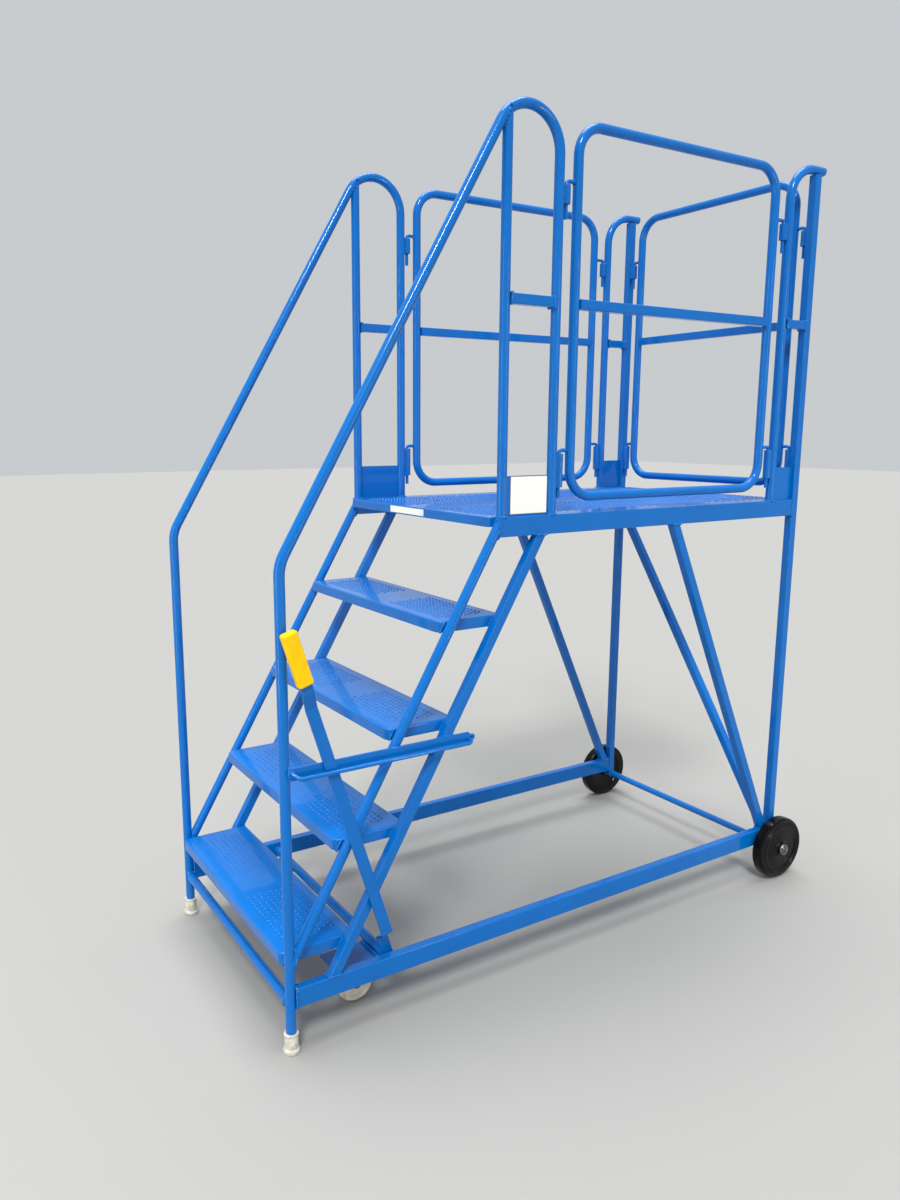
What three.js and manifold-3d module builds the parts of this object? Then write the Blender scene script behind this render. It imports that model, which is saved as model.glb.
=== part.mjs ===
// Mobile ladder stand: four treads and a guarded platform on a welded tube frame.
// Millimetres. +X is the climber's right, +Y the climbing direction, +Z up.
// Heights are from the floor. Y is counted from the front legs, and the whole
// stand is then moved so that its origin is the middle of its footprint.
import * as THREE from 'three';
import { mergeVertices } from 'three/addons/utils/BufferGeometryUtils.js';
import Module from 'manifold-3d';

const wasm = await Module();
wasm.setup();

// ---- driving dimensions -------------------------------------------------
const RISE = 250;                       // floor to tread 1, tread to tread, tread 4 to deck
const GOING = 146.5;                    // tread to tread, along Y
const TREADS = 4;
const DECK_Z = RISE * (TREADS + 1);
const SIDE_X = 375;                     // plane of each side frame
const SLOPE = RISE / GOING;

const TUBE_R = 12.7;                    // round frame tube
const TUBE_WALL = 1.6;
const BOX = 25.4;                       // square frame tube
const BOX_WALL = 2;
const RAIL_H = 50;                      // base rails and platform beams
const RAIL_W = 25;
const GAP = 0.3;                        // clearance where pieces meet
const ROUND_SIDES = 12;
const BORE_SIDES = 8;
const BEND_STEP = THREE.MathUtils.degToRad(20);

const RAIL_Z = 114;                     // underside of the base rails
const RAIL_TOP = RAIL_Z + RAIL_H;
const CROSS_TUBE_Z = 126;
const POST_Y = 1735;                    // rear corner posts and rear wheels
const HOOP_Y = 1626;                    // rear hoops' uprights
const FRONT_POST_Y = 599.3;
const ARCH_Y = 757.5;                   // rear upright of each handrail
const BEND_R = 95;
const SLOPE_Y = 278;                    // the handrail's slope passes here ...
const SLOPE_Z = 1650;                   // ... at this height
const MIDRAIL_Z = 1773;
const KICK_H = 100;
const KICK_T = 3;

const FRONT_STRINGER = { y: 375, z: 859 };  // a point on the round stringer's axis
const REAR_STRINGER = { y: 422, z: 690 };   // a point on the box stringer's axis

const TREAD = { frontY: -17, depth: 195, halfX: SIDE_X - TUBE_R - GAP, lip: 28, sheet: 2.5, corner: 18 };
const DECK = { frontY: 569, lip: 25, sheet: 3, corner: 8 };
const BEARER_YS = [960, 1350];

const GUARD = { frontY: 817, backY: 1560, topZ: 2194, bottomZ: 1292, corner: 72 };
const REAR_GUARD_X = 315;
const SLEEVE = { r: 11, bore: 6.5, sink: 1.2 };
const UPPER_SLEEVE = { bottom: 2005, top: 2050, pinEnd: 1970 };
const LOWER_SLEEVE = { bottom: 1318, top: 1403, pinEnd: 1290 };
const PIN_R = 5;
const HOOK_R = 8.5;

const WHEEL = { r: 101.6, inX: 395, outX: 431, hubR: 70, axleR: 11 };
const FOOT = { r: 16.5, flangeR: 21, flangeH: 9, h: 50, floor: 8 };
const PIVOT = { y: 284, z: RAIL_Z + RAIL_H / 2, stubR: 8 };
const LEVER_TILT = THREE.MathUtils.degToRad(17.6);
const LEVER = { w: 30, t: 6, outX: 399, inX: 352, gripX: 414 };
const GUIDE = { x: 388, t: 6, z: 685, h: 30, frontY: 6, backY: 508, rodX: 410, rodZ: 692, rodR: 5 };
const CASTOR = { x: 274, y: 190, trail: 32, r: 50, w: 28, hubZ: 52, plateZ: 122, plateT: 6 };

const CENTRE_Y = (POST_Y + WHEEL.r - FOOT.flangeR) / 2;

// ---- materials ----------------------------------------------------------
const paint = new THREE.MeshStandardMaterial({ color: 0x0a62b8, roughness: 0.3, metalness: 0 });
const yellow = new THREE.MeshStandardMaterial({ color: 0xffc800, roughness: 0.45, metalness: 0 });
const rubber = new THREE.MeshStandardMaterial({ color: 0x111111, roughness: 0.6, metalness: 0 });
const plastic = new THREE.MeshStandardMaterial({ color: 0x161616, roughness: 0.4, metalness: 0 });
const ferrule = new THREE.MeshStandardMaterial({ color: 0xb9b8ac, roughness: 0.7, metalness: 0 });
const nylon = new THREE.MeshStandardMaterial({ color: 0xd2cdbc, roughness: 0.5, metalness: 0 });
const zinc = new THREE.MeshStandardMaterial({ color: 0x9a9c9e, roughness: 0.35, metalness: 1 });

// ---- shared building blocks ---------------------------------------------
const stand = new THREE.Group();
stand.position.y = -CENTRE_Y;

function solidOf(geometry) {
  const bare = geometry.index ? geometry.clone() : geometry;
  bare.deleteAttribute('normal');
  bare.deleteAttribute('uv');
  const merged = mergeVertices(bare, 1e-3);
  return new wasm.Manifold(new wasm.Mesh({
    numProp: 3,
    vertProperties: new Float32Array(merged.attributes.position.array),
    triVerts: new Uint32Array(merged.index.array),
  }));
}

function geometryOf(solid) {
  const mesh = solid.getMesh();
  const geometry = new THREE.BufferGeometry();
  geometry.setAttribute('position', new THREE.BufferAttribute(mesh.vertProperties, 3));
  geometry.setIndex(new THREE.BufferAttribute(mesh.triVerts, 1));
  return geometry;
}

function add(name, shape, material, x = 0, y = 0, z = 0) {
  const geometry = shape.isBufferGeometry ? shape : geometryOf(shape);
  const mesh = new THREE.Mesh(geometry, material);
  mesh.name = name;
  mesh.position.set(x, y, z);
  stand.add(mesh);
  return mesh;
}

function onBothSides(build) {
  build('left', -1);
  build('right', 1);
}

function vec(x, y, z) {
  return new THREE.Vector3(x, y, z);
}

// A box between two corners.
function block(low, high) {
  const size = vec(high[0] - low[0], high[1] - low[1], high[2] - low[2]);
  const geometry = new THREE.BoxGeometry(size.x, size.y, size.z);
  geometry.translate((low[0] + high[0]) / 2, (low[1] + high[1]) / 2, (low[2] + high[2]) / 2);
  return solidOf(geometry);
}

// A round bar from one point to another.
function rod(from, to, radius, sides = ROUND_SIDES) {
  const axis = to.clone().sub(from);
  const geometry = new THREE.CylinderGeometry(radius, radius, axis.length(), sides);
  geometry.rotateY(Math.PI / sides);
  const turn = new THREE.Quaternion().setFromUnitVectors(vec(0, 1, 0), axis.clone().normalize());
  geometry.applyQuaternion(turn);
  geometry.translate((from.x + to.x) / 2, (from.y + to.y) / 2, (from.z + to.z) / 2);
  return solidOf(geometry);
}

// A tube's centre line: straight runs joined by bends, one station per step.
class BentLine extends THREE.Curve {
  constructor(corners, radius) {
    super();
    this.stations = [corners[0]];
    for (let i = 1; i < corners.length - 1; i += 1) {
      this.stations.push(...bend(corners[i - 1], corners[i], corners[i + 1], radius));
    }
    this.stations.push(corners[corners.length - 1]);
    this.steps = this.stations.length - 1;
  }

  getPoint(t) {
    const at = Math.min(t * this.steps, this.steps);
    const i = Math.min(Math.floor(at + 1e-6), this.steps - 1);
    return this.stations[i].clone().lerp(this.stations[i + 1], at - i);
  }

  getPointAt(u) {
    return this.getPoint(u);
  }

  getTangentAt(u) {
    const i = Math.round(u * this.steps);
    const before = this.stations[Math.max(i - 1, 0)];
    const here = this.stations[i];
    const after = this.stations[Math.min(i + 1, this.steps)];
    const into = here.clone().sub(before).normalize();
    const outOf = after.clone().sub(here).normalize();
    return into.add(outOf).normalize();
  }
}

function bend(before, corner, after, radius) {
  const into = corner.clone().sub(before).normalize();
  const outOf = after.clone().sub(corner).normalize();
  const angle = into.angleTo(outOf);
  const steps = Math.max(2, Math.round(angle / BEND_STEP));
  const start = corner.clone().addScaledVector(into, -radius * Math.tan(angle / 2));
  const inward = outOf.clone().addScaledVector(into, -outOf.dot(into)).normalize();
  const points = [];
  for (let i = 0; i <= steps; i += 1) {
    const a = (angle * i) / steps;
    const point = start.clone().addScaledVector(into, radius * Math.sin(a));
    points.push(point.addScaledVector(inward, radius * (1 - Math.cos(a))));
  }
  return points;
}

function circle(radius, sides) {
  const shape = new THREE.Shape();
  for (let i = 0; i < sides; i += 1) {
    const a = (2 * Math.PI * (i + 0.5)) / sides;
    const x = radius * Math.cos(a);
    const y = radius * Math.sin(a);
    if (i === 0) shape.moveTo(x, y);
    else shape.lineTo(x, y);
  }
  shape.closePath();
  return shape;
}

function bentRod(corners, bendRadius, radius, sides = ROUND_SIDES) {
  const path = new BentLine(corners, bendRadius);
  const geometry = new THREE.ExtrudeGeometry(circle(radius, sides), { steps: path.steps, extrudePath: path });
  return solidOf(geometry);
}

function bentTube(corners, bendRadius) {
  const outer = bentRod(corners, bendRadius, TUBE_R);
  const past = GAP / 3;
  const last = corners.length - 1;
  const before = corners[0].clone().sub(corners[1]).setLength(past).add(corners[0]);
  const beyond = corners[last].clone().sub(corners[last - 1]).setLength(past).add(corners[last]);
  const longer = [before, ...corners.slice(1, -1), beyond];
  return outer.subtract(bentRod(longer, bendRadius, TUBE_R - TUBE_WALL, BORE_SIDES));
}

function straightTube(from, to) {
  const along = to.clone().sub(from).normalize();
  const bore = rod(from.clone().sub(along), to.clone().add(along), TUBE_R - TUBE_WALL, BORE_SIDES);
  return rod(from, to, TUBE_R).subtract(bore);
}

// A rectangular tube along Y, X or a slanted line: width across, height and length.
function boxTube(width, height, length) {
  const outer = new THREE.BoxGeometry(width, length, height);
  const inner = new THREE.BoxGeometry(width - 2 * BOX_WALL, length + 2, height - 2 * BOX_WALL);
  return solidOf(outer).subtract(solidOf(inner));
}

// A square tube slanted in the plane of X or Y, cut level by two flat planes.
function slantedBox(from, to, aboutX, low, high) {
  const reach = 80;
  const span = to.clone().sub(from);
  const length = span.length() + 2 * reach;
  const angle = aboutX ? Math.atan2(span.z, span.y) : Math.atan2(span.z, span.x);
  let tube = boxTube(BOX, BOX, length);
  tube = aboutX ? tube.rotate([THREE.MathUtils.radToDeg(angle), 0, 0])
    : tube.rotate([0, 0, -90]).rotate([0, -THREE.MathUtils.radToDeg(angle), 0]);
  const middle = from.clone().add(to).multiplyScalar(0.5);
  tube = tube.translate([middle.x, middle.y, middle.z]);
  return tube.intersect(block(low, high));
}

function ringSleeve(x, y, sleeve) {
  const outer = rod(vec(x, y, sleeve.bottom), vec(x, y, sleeve.top), SLEEVE.r);
  return { outer, bore: rod(vec(x, y, sleeve.bottom - 1), vec(x, y, sleeve.top + 1), SLEEVE.bore) };
}

function withSleeves(solid, x, y) {
  let joined = solid;
  for (const sleeve of [UPPER_SLEEVE, LOWER_SLEEVE]) {
    const { outer, bore } = ringSleeve(x, y, sleeve);
    joined = joined.add(outer).subtract(bore);
  }
  return joined;
}

// A folded sheet pan, open below: a flat top with a lip all round.
function pan(halfX, depth, lip, sheet, corner) {
  const outline = (inset) => {
    const x = halfX - inset;
    const y0 = inset;
    const y1 = depth - inset;
    const r = Math.max(corner - inset, 1);
    const shape = new THREE.Shape();
    shape.moveTo(-x + r, y0);
    shape.lineTo(x - r, y0);
    shape.absarc(x - r, y0 + r, r, -Math.PI / 2, 0);
    shape.lineTo(x, y1 - r);
    shape.absarc(x - r, y1 - r, r, 0, Math.PI / 2);
    shape.lineTo(-x + r, y1);
    shape.absarc(-x + r, y1 - r, r, Math.PI / 2, Math.PI);
    shape.lineTo(-x, y0 + r);
    shape.absarc(-x + r, y0 + r, r, Math.PI, 1.5 * Math.PI);
    return shape;
  };
  const options = { depth: lip, bevelEnabled: false, curveSegments: 3 };
  const outer = new THREE.ExtrudeGeometry(outline(0), options);
  const inner = new THREE.ExtrudeGeometry(outline(sheet), options);
  outer.translate(0, 0, -lip);
  inner.translate(0, 0, -lip - sheet);
  return solidOf(outer).subtract(solidOf(inner));
}

// A turned piece about an axis along X: pairs of [x, radius], flat side down.
function turned(profile, sides) {
  const points = profile.map(([x, r]) => new THREE.Vector2(r / Math.cos(Math.PI / sides), x));
  const geometry = new THREE.LatheGeometry(points, sides);
  geometry.rotateY(Math.PI / sides);
  geometry.rotateZ(-Math.PI / 2);
  return geometry;
}

function slopeAt(point, z) {
  return point.y + (z - point.z) / SLOPE;
}

// ---- base ---------------------------------------------------------------
function baseRails() {
  const frontY = TUBE_R + GAP;
  const backY = POST_Y - BOX / 2 - GAP;
  const length = backY - frontY;
  onBothSides((side, s) => {
    const rail = boxTube(RAIL_W, RAIL_H, length).translate([s * SIDE_X, (frontY + backY) / 2, PIVOT.z]);
    const innerX = s * (SIDE_X - RAIL_W / 2);
    const hole = rod(vec(innerX - s * 4, PIVOT.y, PIVOT.z), vec(innerX + s * 4, PIVOT.y, PIVOT.z),
      PIVOT.stubR + 0.7);
    add(`base_rail_${side}`, rail.subtract(hole), paint);
  });
  const reach = SIDE_X - TUBE_R - GAP;
  add('front_cross_tube', straightTube(vec(-reach, 0, CROSS_TUBE_Z), vec(reach, 0, CROSS_TUBE_Z)), paint);
}

function feet() {
  const profile = [
    [0, 0], [FOOT.flangeR, 0], [FOOT.flangeR, FOOT.flangeH], [FOOT.r, FOOT.flangeH + 4],
    [FOOT.r, FOOT.h], [TUBE_R + GAP, FOOT.h], [TUBE_R + GAP, FOOT.floor], [0, FOOT.floor],
  ].map(([r, z]) => new THREE.Vector2(r, z));
  onBothSides((side, s) => {
    const geometry = new THREE.LatheGeometry(profile, 16);
    geometry.rotateX(Math.PI / 2);
    add(`foot_${side}`, solidOf(geometry), ferrule, s * SIDE_X);
  });
}

// ---- stair frame --------------------------------------------------------
function handrailCorners() {
  const elbowZ = SLOPE_Z - SLOPE_Y * SLOPE;
  const peakZ = SLOPE_Z + (ARCH_Y - SLOPE_Y) * SLOPE;
  return [
    vec(0, 0, FOOT.floor + GAP), vec(0, 0, elbowZ), vec(0, ARCH_Y, peakZ), vec(0, ARCH_Y, DECK_Z + GAP),
  ];
}

function handrails() {
  const tube = bentTube(handrailCorners(), BEND_R);
  const rail = withSleeves(tube, 0, ARCH_Y + TUBE_R + SLEEVE.r - SLEEVE.sink);
  const envelope = bentRod(handrailCorners(), BEND_R, TUBE_R + GAP);
  const tall = straightTube(vec(0, FRONT_POST_Y, DECK_Z + GAP), vec(0, FRONT_POST_Y, 2400));
  const post = tall.subtract(envelope).decompose().sort((a, b) => a.boundingBox().min[2] - b.boundingBox().min[2])[0];
  onBothSides((side, s) => {
    add(`handrail_${side}`, rail, paint, s * SIDE_X);
    add(`front_post_${side}`, post, paint, s * SIDE_X);
  });
}

function stringers() {
  const lowZ = 150;
  const highZ = 1330;
  const leg = rod(vec(0, 0, 100), vec(0, 0, 500), TUBE_R + GAP);
  const beamFrontY = FRONT_POST_Y - TUBE_R - GAP;
  const round = straightTube(vec(0, slopeAt(FRONT_STRINGER, lowZ), lowZ), vec(0, slopeAt(FRONT_STRINGER, highZ), highZ))
    .intersect(block([-50, 0, RAIL_TOP + GAP], [50, beamFrontY, DECK_Z]))
    .subtract(leg);
  const from = vec(0, slopeAt(REAR_STRINGER, RAIL_TOP), RAIL_TOP);
  const to = vec(0, slopeAt(REAR_STRINGER, DECK_Z - RAIL_H), DECK_Z - RAIL_H);
  const box = slantedBox(from, to, true, [-50, 0, RAIL_TOP + GAP], [50, 1000, DECK_Z - RAIL_H - GAP]);
  onBothSides((side, s) => {
    add(`front_stringer_${side}`, round, paint, s * SIDE_X);
    add(`rear_stringer_${side}`, box, paint, s * SIDE_X);
  });
}

function treads() {
  const tread = pan(TREAD.halfX, TREAD.depth, TREAD.lip, TREAD.sheet, TREAD.corner);
  for (let i = 0; i < TREADS; i += 1) {
    add(`tread_${i + 1}`, tread, paint, 0, TREAD.frontY + i * GOING, RISE * (i + 1));
  }
}

// ---- platform -----------------------------------------------------------
function platform() {
  const beamFrontY = FRONT_POST_Y - TUBE_R;
  const beamBackY = POST_Y - BOX / 2 - GAP;
  const beam = boxTube(RAIL_W, RAIL_H, beamBackY - beamFrontY);
  const backY = POST_Y + BOX / 2;
  const deck = pan(TREAD.halfX, backY - DECK.frontY, DECK.lip, DECK.sheet, DECK.corner);
  add('platform_deck', deck, paint, 0, DECK.frontY, DECK_Z);
  onBothSides((side, s) => {
    add(`platform_beam_${side}`, beam, paint, s * SIDE_X, (beamFrontY + beamBackY) / 2, DECK_Z - RAIL_H / 2);
  });
  const bearerTop = DECK_Z - DECK.sheet - GAP;
  const length = 2 * (TREAD.halfX - DECK.sheet - GAP);
  const bearer = boxTube(BOX, BOX, length).rotate([0, 0, 90]);
  BEARER_YS.forEach((y, i) => add(`deck_bearer_${i + 1}`, bearer, paint, 0, y, bearerTop - BOX / 2));
}

function kickPlate(fromY, toY) {
  return block([-KICK_T / 2, fromY, DECK_Z + GAP], [KICK_T / 2, toY, DECK_Z + KICK_H]);
}

function sidePanels() {
  const frontFrom = FRONT_POST_Y + TUBE_R + GAP;
  const frontTo = ARCH_Y - TUBE_R - GAP;
  const rearFrom = HOOP_Y + TUBE_R + GAP;
  const rearTo = POST_Y - BOX / 2 - GAP;
  const frontRail = boxTube(BOX, BOX, frontTo - frontFrom);
  const rearRail = boxTube(BOX, BOX, rearTo - rearFrom);
  onBothSides((side, s) => {
    add(`handrail_midrail_${side}`, frontRail, paint, s * SIDE_X, (frontFrom + frontTo) / 2, MIDRAIL_Z);
    add(`rear_midrail_${side}`, rearRail, paint, s * SIDE_X, (rearFrom + rearTo) / 2, MIDRAIL_Z);
    add(`front_kick_plate_${side}`, kickPlate(frontFrom, frontTo), paint, s * SIDE_X);
    add(`rear_kick_plate_${side}`, kickPlate(rearFrom, rearTo), paint, s * SIDE_X);
  });
}

// ---- rear posts, hoops and braces ---------------------------------------
function archTopZ() {
  const peakZ = SLOPE_Z + (ARCH_Y - SLOPE_Y) * SLOPE;
  const turn = Math.PI / 2 + Math.atan(SLOPE);
  return peakZ - BEND_R * Math.tan(turn / 2) + BEND_R;
}

function rearFrames() {
  const topZ = archTopZ();
  const postTop = topZ - TUBE_R - GAP;
  const outer = block([-BOX / 2, -BOX / 2, RAIL_Z], [BOX / 2, BOX / 2, postTop]);
  const half = BOX / 2 - BOX_WALL;
  const post = outer.subtract(block([-half, -half, RAIL_Z - 1], [half, half, postTop + 1]));
  const tipY = POST_Y + 32;
  const upright = [vec(0, HOOP_Y, DECK_Z + GAP), vec(0, HOOP_Y, topZ), vec(0, tipY, topZ)];
  const bore = [vec(0, HOOP_Y, DECK_Z - 1), vec(0, HOOP_Y, topZ), vec(0, tipY - TUBE_WALL, topZ)];
  const hoop = bentRod(upright, BEND_R, TUBE_R)
    .subtract(bentRod(bore, BEND_R, TUBE_R - TUBE_WALL, BORE_SIDES));
  const sleeved = withSleeves(hoop, 0, HOOP_Y - TUBE_R - SLEEVE.r + SLEEVE.sink);
  onBothSides((side, s) => {
    const cornerPost = withSleeves(post, -s * (BOX / 2 + SLEEVE.r - SLEEVE.sink / 2), 0);
    add(`rear_post_${side}`, cornerPost, paint, s * SIDE_X, POST_Y);
    add(`rear_hoop_${side}`, sleeved, paint, s * SIDE_X);
  });
}

function braces() {
  const top = vec(0, 1212, DECK_Z - RAIL_H);
  const foot = vec(0, 1697, RAIL_TOP);
  const side = slantedBox(top, foot, true, [-50, 1000, RAIL_TOP + GAP], [50, 1800, DECK_Z - RAIL_H - GAP]);
  onBothSides((name, s) => add(`side_brace_${name}`, side, paint, s * SIDE_X));
  const inner = SIDE_X - BOX / 2 - GAP;
  const rear = slantedBox(vec(-inner, 0, 1172), vec(inner, 0, 138), false, [-inner, -50, 0], [inner, 50, 1300]);
  add('rear_brace', rear, paint, 0, POST_Y);
}

// ---- lift-off guards ----------------------------------------------------
// In the guard's own plane: u runs along the guard, z is up. The loop is one bent
// tube whose two ends meet in the middle of the bottom rail.
function guardLoop(place, u0, u1, bottomZ, topZ) {
  const middle = (u0 + u1) / 2;
  return bentTube([
    place(middle - GAP / 2, bottomZ), place(u0, bottomZ), place(u0, topZ),
    place(u1, topZ), place(u1, bottomZ), place(middle + GAP / 2, bottomZ),
  ], GUARD.corner);
}

function hookPins(loop, place, u, sleeveU) {
  const wallU = u + Math.sign(sleeveU - u) * (TUBE_R - TUBE_WALL);
  let joined = loop;
  for (const sleeve of [UPPER_SLEEVE, LOWER_SLEEVE]) {
    const hookZ = sleeve.top + HOOK_R + 0.5;
    const corners = [place(wallU, hookZ), place(sleeveU, hookZ), place(sleeveU, sleeve.pinEnd)];
    joined = joined.add(bentRod(corners, HOOK_R, PIN_R, BORE_SIDES));
  }
  return joined;
}

function sideGuards() {
  const place = (u, z) => vec(0, u, z);
  const reach = TUBE_R + SLEEVE.r - SLEEVE.sink;
  let guard = guardLoop(place, GUARD.frontY, GUARD.backY, GUARD.bottomZ, GUARD.topZ);
  guard = hookPins(guard, place, GUARD.frontY, ARCH_Y + reach);
  guard = hookPins(guard, place, GUARD.backY, HOOP_Y - reach);
  const length = GUARD.backY - GUARD.frontY - 2 * (TUBE_R + GAP);
  const midrail = boxTube(BOX, BOX, length);
  onBothSides((side, s) => {
    add(`guard_${side}`, guard, paint, s * SIDE_X);
    add(`guard_midrail_${side}`, midrail, paint, s * SIDE_X, (GUARD.frontY + GUARD.backY) / 2, MIDRAIL_Z);
  });
}

function rearGuard() {
  const place = (u, z) => vec(u, POST_Y, z);
  const sleeveX = SIDE_X - BOX / 2 - SLEEVE.r + SLEEVE.sink / 2;
  let guard = guardLoop(place, -REAR_GUARD_X, REAR_GUARD_X, GUARD.bottomZ + 6, GUARD.topZ + 4);
  guard = hookPins(guard, place, -REAR_GUARD_X, -sleeveX);
  guard = hookPins(guard, place, REAR_GUARD_X, sleeveX);
  add('guard_rear', guard, paint);
  const midrail = boxTube(BOX, BOX, 2 * (REAR_GUARD_X - TUBE_R - GAP)).rotate([0, 0, 90]);
  add('guard_midrail_rear', midrail, paint, 0, POST_Y, MIDRAIL_Z + 6);
}

// ---- rear wheels --------------------------------------------------------
function rearWheels() {
  const axleX = WHEEL.outX + 9;
  add('rear_axle', rod(vec(-axleX, 0, 0), vec(axleX, 0, 0), WHEEL.axleR, 16), zinc, 0, POST_Y, WHEEL.r);
  const { inX, outX, r, hubR, axleR } = WHEEL;
  const bore = axleR + 0.6;
  const tyre = [
    [inX, hubR + GAP], [inX, r - 8], [inX + 4, r - 2], [inX + 10, r], [outX - 10, r],
    [outX - 4, r - 2], [outX, r - 8], [outX, hubR + GAP], [inX, hubR + GAP],
  ];
  const hub = [
    [inX - 6, bore], [inX - 6, 20], [inX + 9, 22], [inX + 1, hubR - 1],
    [outX - 1, hubR - 1], [outX - 9, 26], [outX + 5, 23], [outX + 5, bore], [inX - 6, bore],
  ];
  const capX = outX + 5.5;
  const cap = [
    [capX, axleR + GAP], [capX, 20], [capX + 8, 19], [capX + 14, 11], [capX + 15.5, 0],
    [axleX + GAP, 0], [axleX + GAP, axleR + GAP], [capX, axleR + GAP],
  ].filter(([, radius], i, all) => !(radius === 0 && i === all.length));
  onBothSides((side, s) => {
    const turn = (geometry) => (s < 0 ? geometry.rotateZ(Math.PI) : geometry);
    add(`rear_tyre_${side}`, solidOf(turn(turned(tyre, 32))), rubber, 0, POST_Y, r);
    add(`rear_wheel_hub_${side}`, solidOf(turn(turned(hub, 24))), plastic, 0, POST_Y, r);
    add(`hub_cap_${side}`, hubCap(cap, turn), zinc, 0, POST_Y, r);
  });
}

// The cap is a turned cup: its outside profile less the socket for the axle's end.
function hubCap(profile, turn) {
  const outside = [[profile[0][0], 0], ...profile.slice(1, 5)];
  const depth = profile[5][0];
  const socket = [[profile[0][0] - 1, 0], [profile[0][0] - 1, profile[0][1]], [depth, profile[0][1]], [depth, 0]];
  return solidOf(turn(turned(outside, 20))).subtract(solidOf(turn(turned(socket, 16))));
}

// ---- castor bar and lever -----------------------------------------------
function castorBar() {
  const reach = SIDE_X - RAIL_W / 2 - 2;
  const stub = SIDE_X - 3;
  let bar = rod(vec(-reach, PIVOT.y, PIVOT.z), vec(reach, PIVOT.y, PIVOT.z), TUBE_R)
    .add(rod(vec(-stub, PIVOT.y, PIVOT.z), vec(stub, PIVOT.y, PIVOT.z), PIVOT.stubR));
  for (const s of [-1, 1]) {
    const x = s * CASTOR.x;
    const top = CASTOR.plateZ + CASTOR.plateT;
    bar = bar.add(block([x - 45, CASTOR.y - 42, CASTOR.plateZ], [x + 45, PIVOT.y + 8, top]));
    bar = bar.subtract(rod(vec(x, CASTOR.y, CASTOR.plateZ - 2), vec(x, CASTOR.y, top + 2), 6.8));
  }
  const bore = rod(vec(-stub - 1, PIVOT.y, PIVOT.z), vec(stub + 1, PIVOT.y, PIVOT.z), 6, BORE_SIDES);
  add('castor_bar', bar.subtract(bore), paint);
}

// The lever in its own plane: X across, Z along the lever from the pivot's axis.
function leverParts() {
  const crank = [
    [LEVER.inX, TUBE_R + GAP], [LEVER.inX, 75], [LEVER.outX, 105],
    [LEVER.outX, 745], [LEVER.gripX, 790], [LEVER.gripX, 925],
  ];
  const half = LEVER.t / 2;
  const shape = new THREE.Shape();
  crank.forEach(([x, z], i) => (i === 0 ? shape.moveTo(x - half, z) : shape.lineTo(x - half, z)));
  [...crank].reverse().forEach(([x, z]) => shape.lineTo(x + half, z));
  shape.closePath();
  const bar = new THREE.ExtrudeGeometry(shape, { depth: LEVER.w, bevelEnabled: false });
  bar.rotateX(Math.PI / 2);
  bar.translate(0, LEVER.w / 2, 0);
  const grip = solidOf(gripBody()).subtract(block(
    [LEVER.gripX - half - GAP, -LEVER.w / 2 - GAP, 800], [LEVER.gripX + half + GAP, LEVER.w / 2 + GAP, 925.5]));
  return { bar: solidOf(bar), grip };
}

function gripBody() {
  const shape = new THREE.Shape();
  const x = 13;
  const y = 19;
  const r = 7;
  shape.moveTo(-x + r, -y);
  shape.lineTo(x - r, -y);
  shape.absarc(x - r, -y + r, r, -Math.PI / 2, 0);
  shape.absarc(x - r, y - r, r, 0, Math.PI / 2);
  shape.absarc(-x + r, y - r, r, Math.PI / 2, Math.PI);
  shape.absarc(-x + r, -y + r, r, Math.PI, 1.5 * Math.PI);
  const body = new THREE.ExtrudeGeometry(shape, { depth: 130, bevelEnabled: false, curveSegments: 3 });
  body.translate(LEVER.gripX, 0, 808);
  return body;
}

function lever() {
  const { bar, grip } = leverParts();
  const tilt = (solid) => solid.rotate([THREE.MathUtils.radToDeg(LEVER_TILT), 0, 0]);
  add('hand_lever', tilt(bar), paint, 0, PIVOT.y, PIVOT.z);
  add('lever_grip', tilt(grip), yellow, 0, PIVOT.y, PIVOT.z);
}

function leverGuide() {
  const { x, t, z, h, frontY, backY, rodX, rodZ, rodR } = GUIDE;
  const bar = block([x, frontY, z], [x + t, backY, z + h]);
  const rail = bentRod([
    vec(x + t / 2, frontY + 3, rodZ + 12), vec(rodX, frontY + 20, rodZ),
    vec(rodX, backY - 20, rodZ), vec(x + t / 2, backY - 3, rodZ + 6),
  ], 14, rodR, BORE_SIDES);
  add('lever_guide', bar.add(rail), paint);
}

function castors() {
  const { x, y, trail, r, w, hubZ, plateZ } = CASTOR;
  const spool = new THREE.LatheGeometry([
    [0, 107], [24, 107], [24, plateZ - 0.4], [6, plateZ - 0.4], [6, plateZ + 6.4], [10, plateZ + 6.4],
    [10, plateZ + 12], [0, plateZ + 12],
  ].map(([radius, z]) => new THREE.Vector2(radius, z)), 12);
  spool.rotateX(Math.PI / 2);
  let fork = solidOf(spool).add(block([-18.5, -25, 106], [18.5, 27, 110]));
  for (const s of [-1, 1]) fork = fork.add(forkLeg(s * 17));
  fork = fork.subtract(rod(vec(-30, trail, hubZ), vec(30, trail, hubZ), 5.3));
  const wheel = turned([
    [-w / 2, 5.6], [-w / 2, r - 4], [-w / 2 + 4, r], [w / 2 - 4, r], [w / 2, r - 4], [w / 2, 5.6],
    [-w / 2, 5.6],
  ], 24);
  const axle = turned([
    [-24, 0], [-24, 8], [-19, 8], [-19, 4.8], [19, 4.8], [19, 8], [24, 8], [24, 0],
  ], 12);
  onBothSides((side, s) => {
    add(`castor_fork_${side}`, fork, zinc, s * x, y);
    add(`castor_wheel_${side}`, solidOf(wheel), nylon, s * x, y + trail, hubZ);
    add(`castor_axle_${side}`, solidOf(axle), zinc, s * x, y + trail, hubZ);
  });
}

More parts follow.
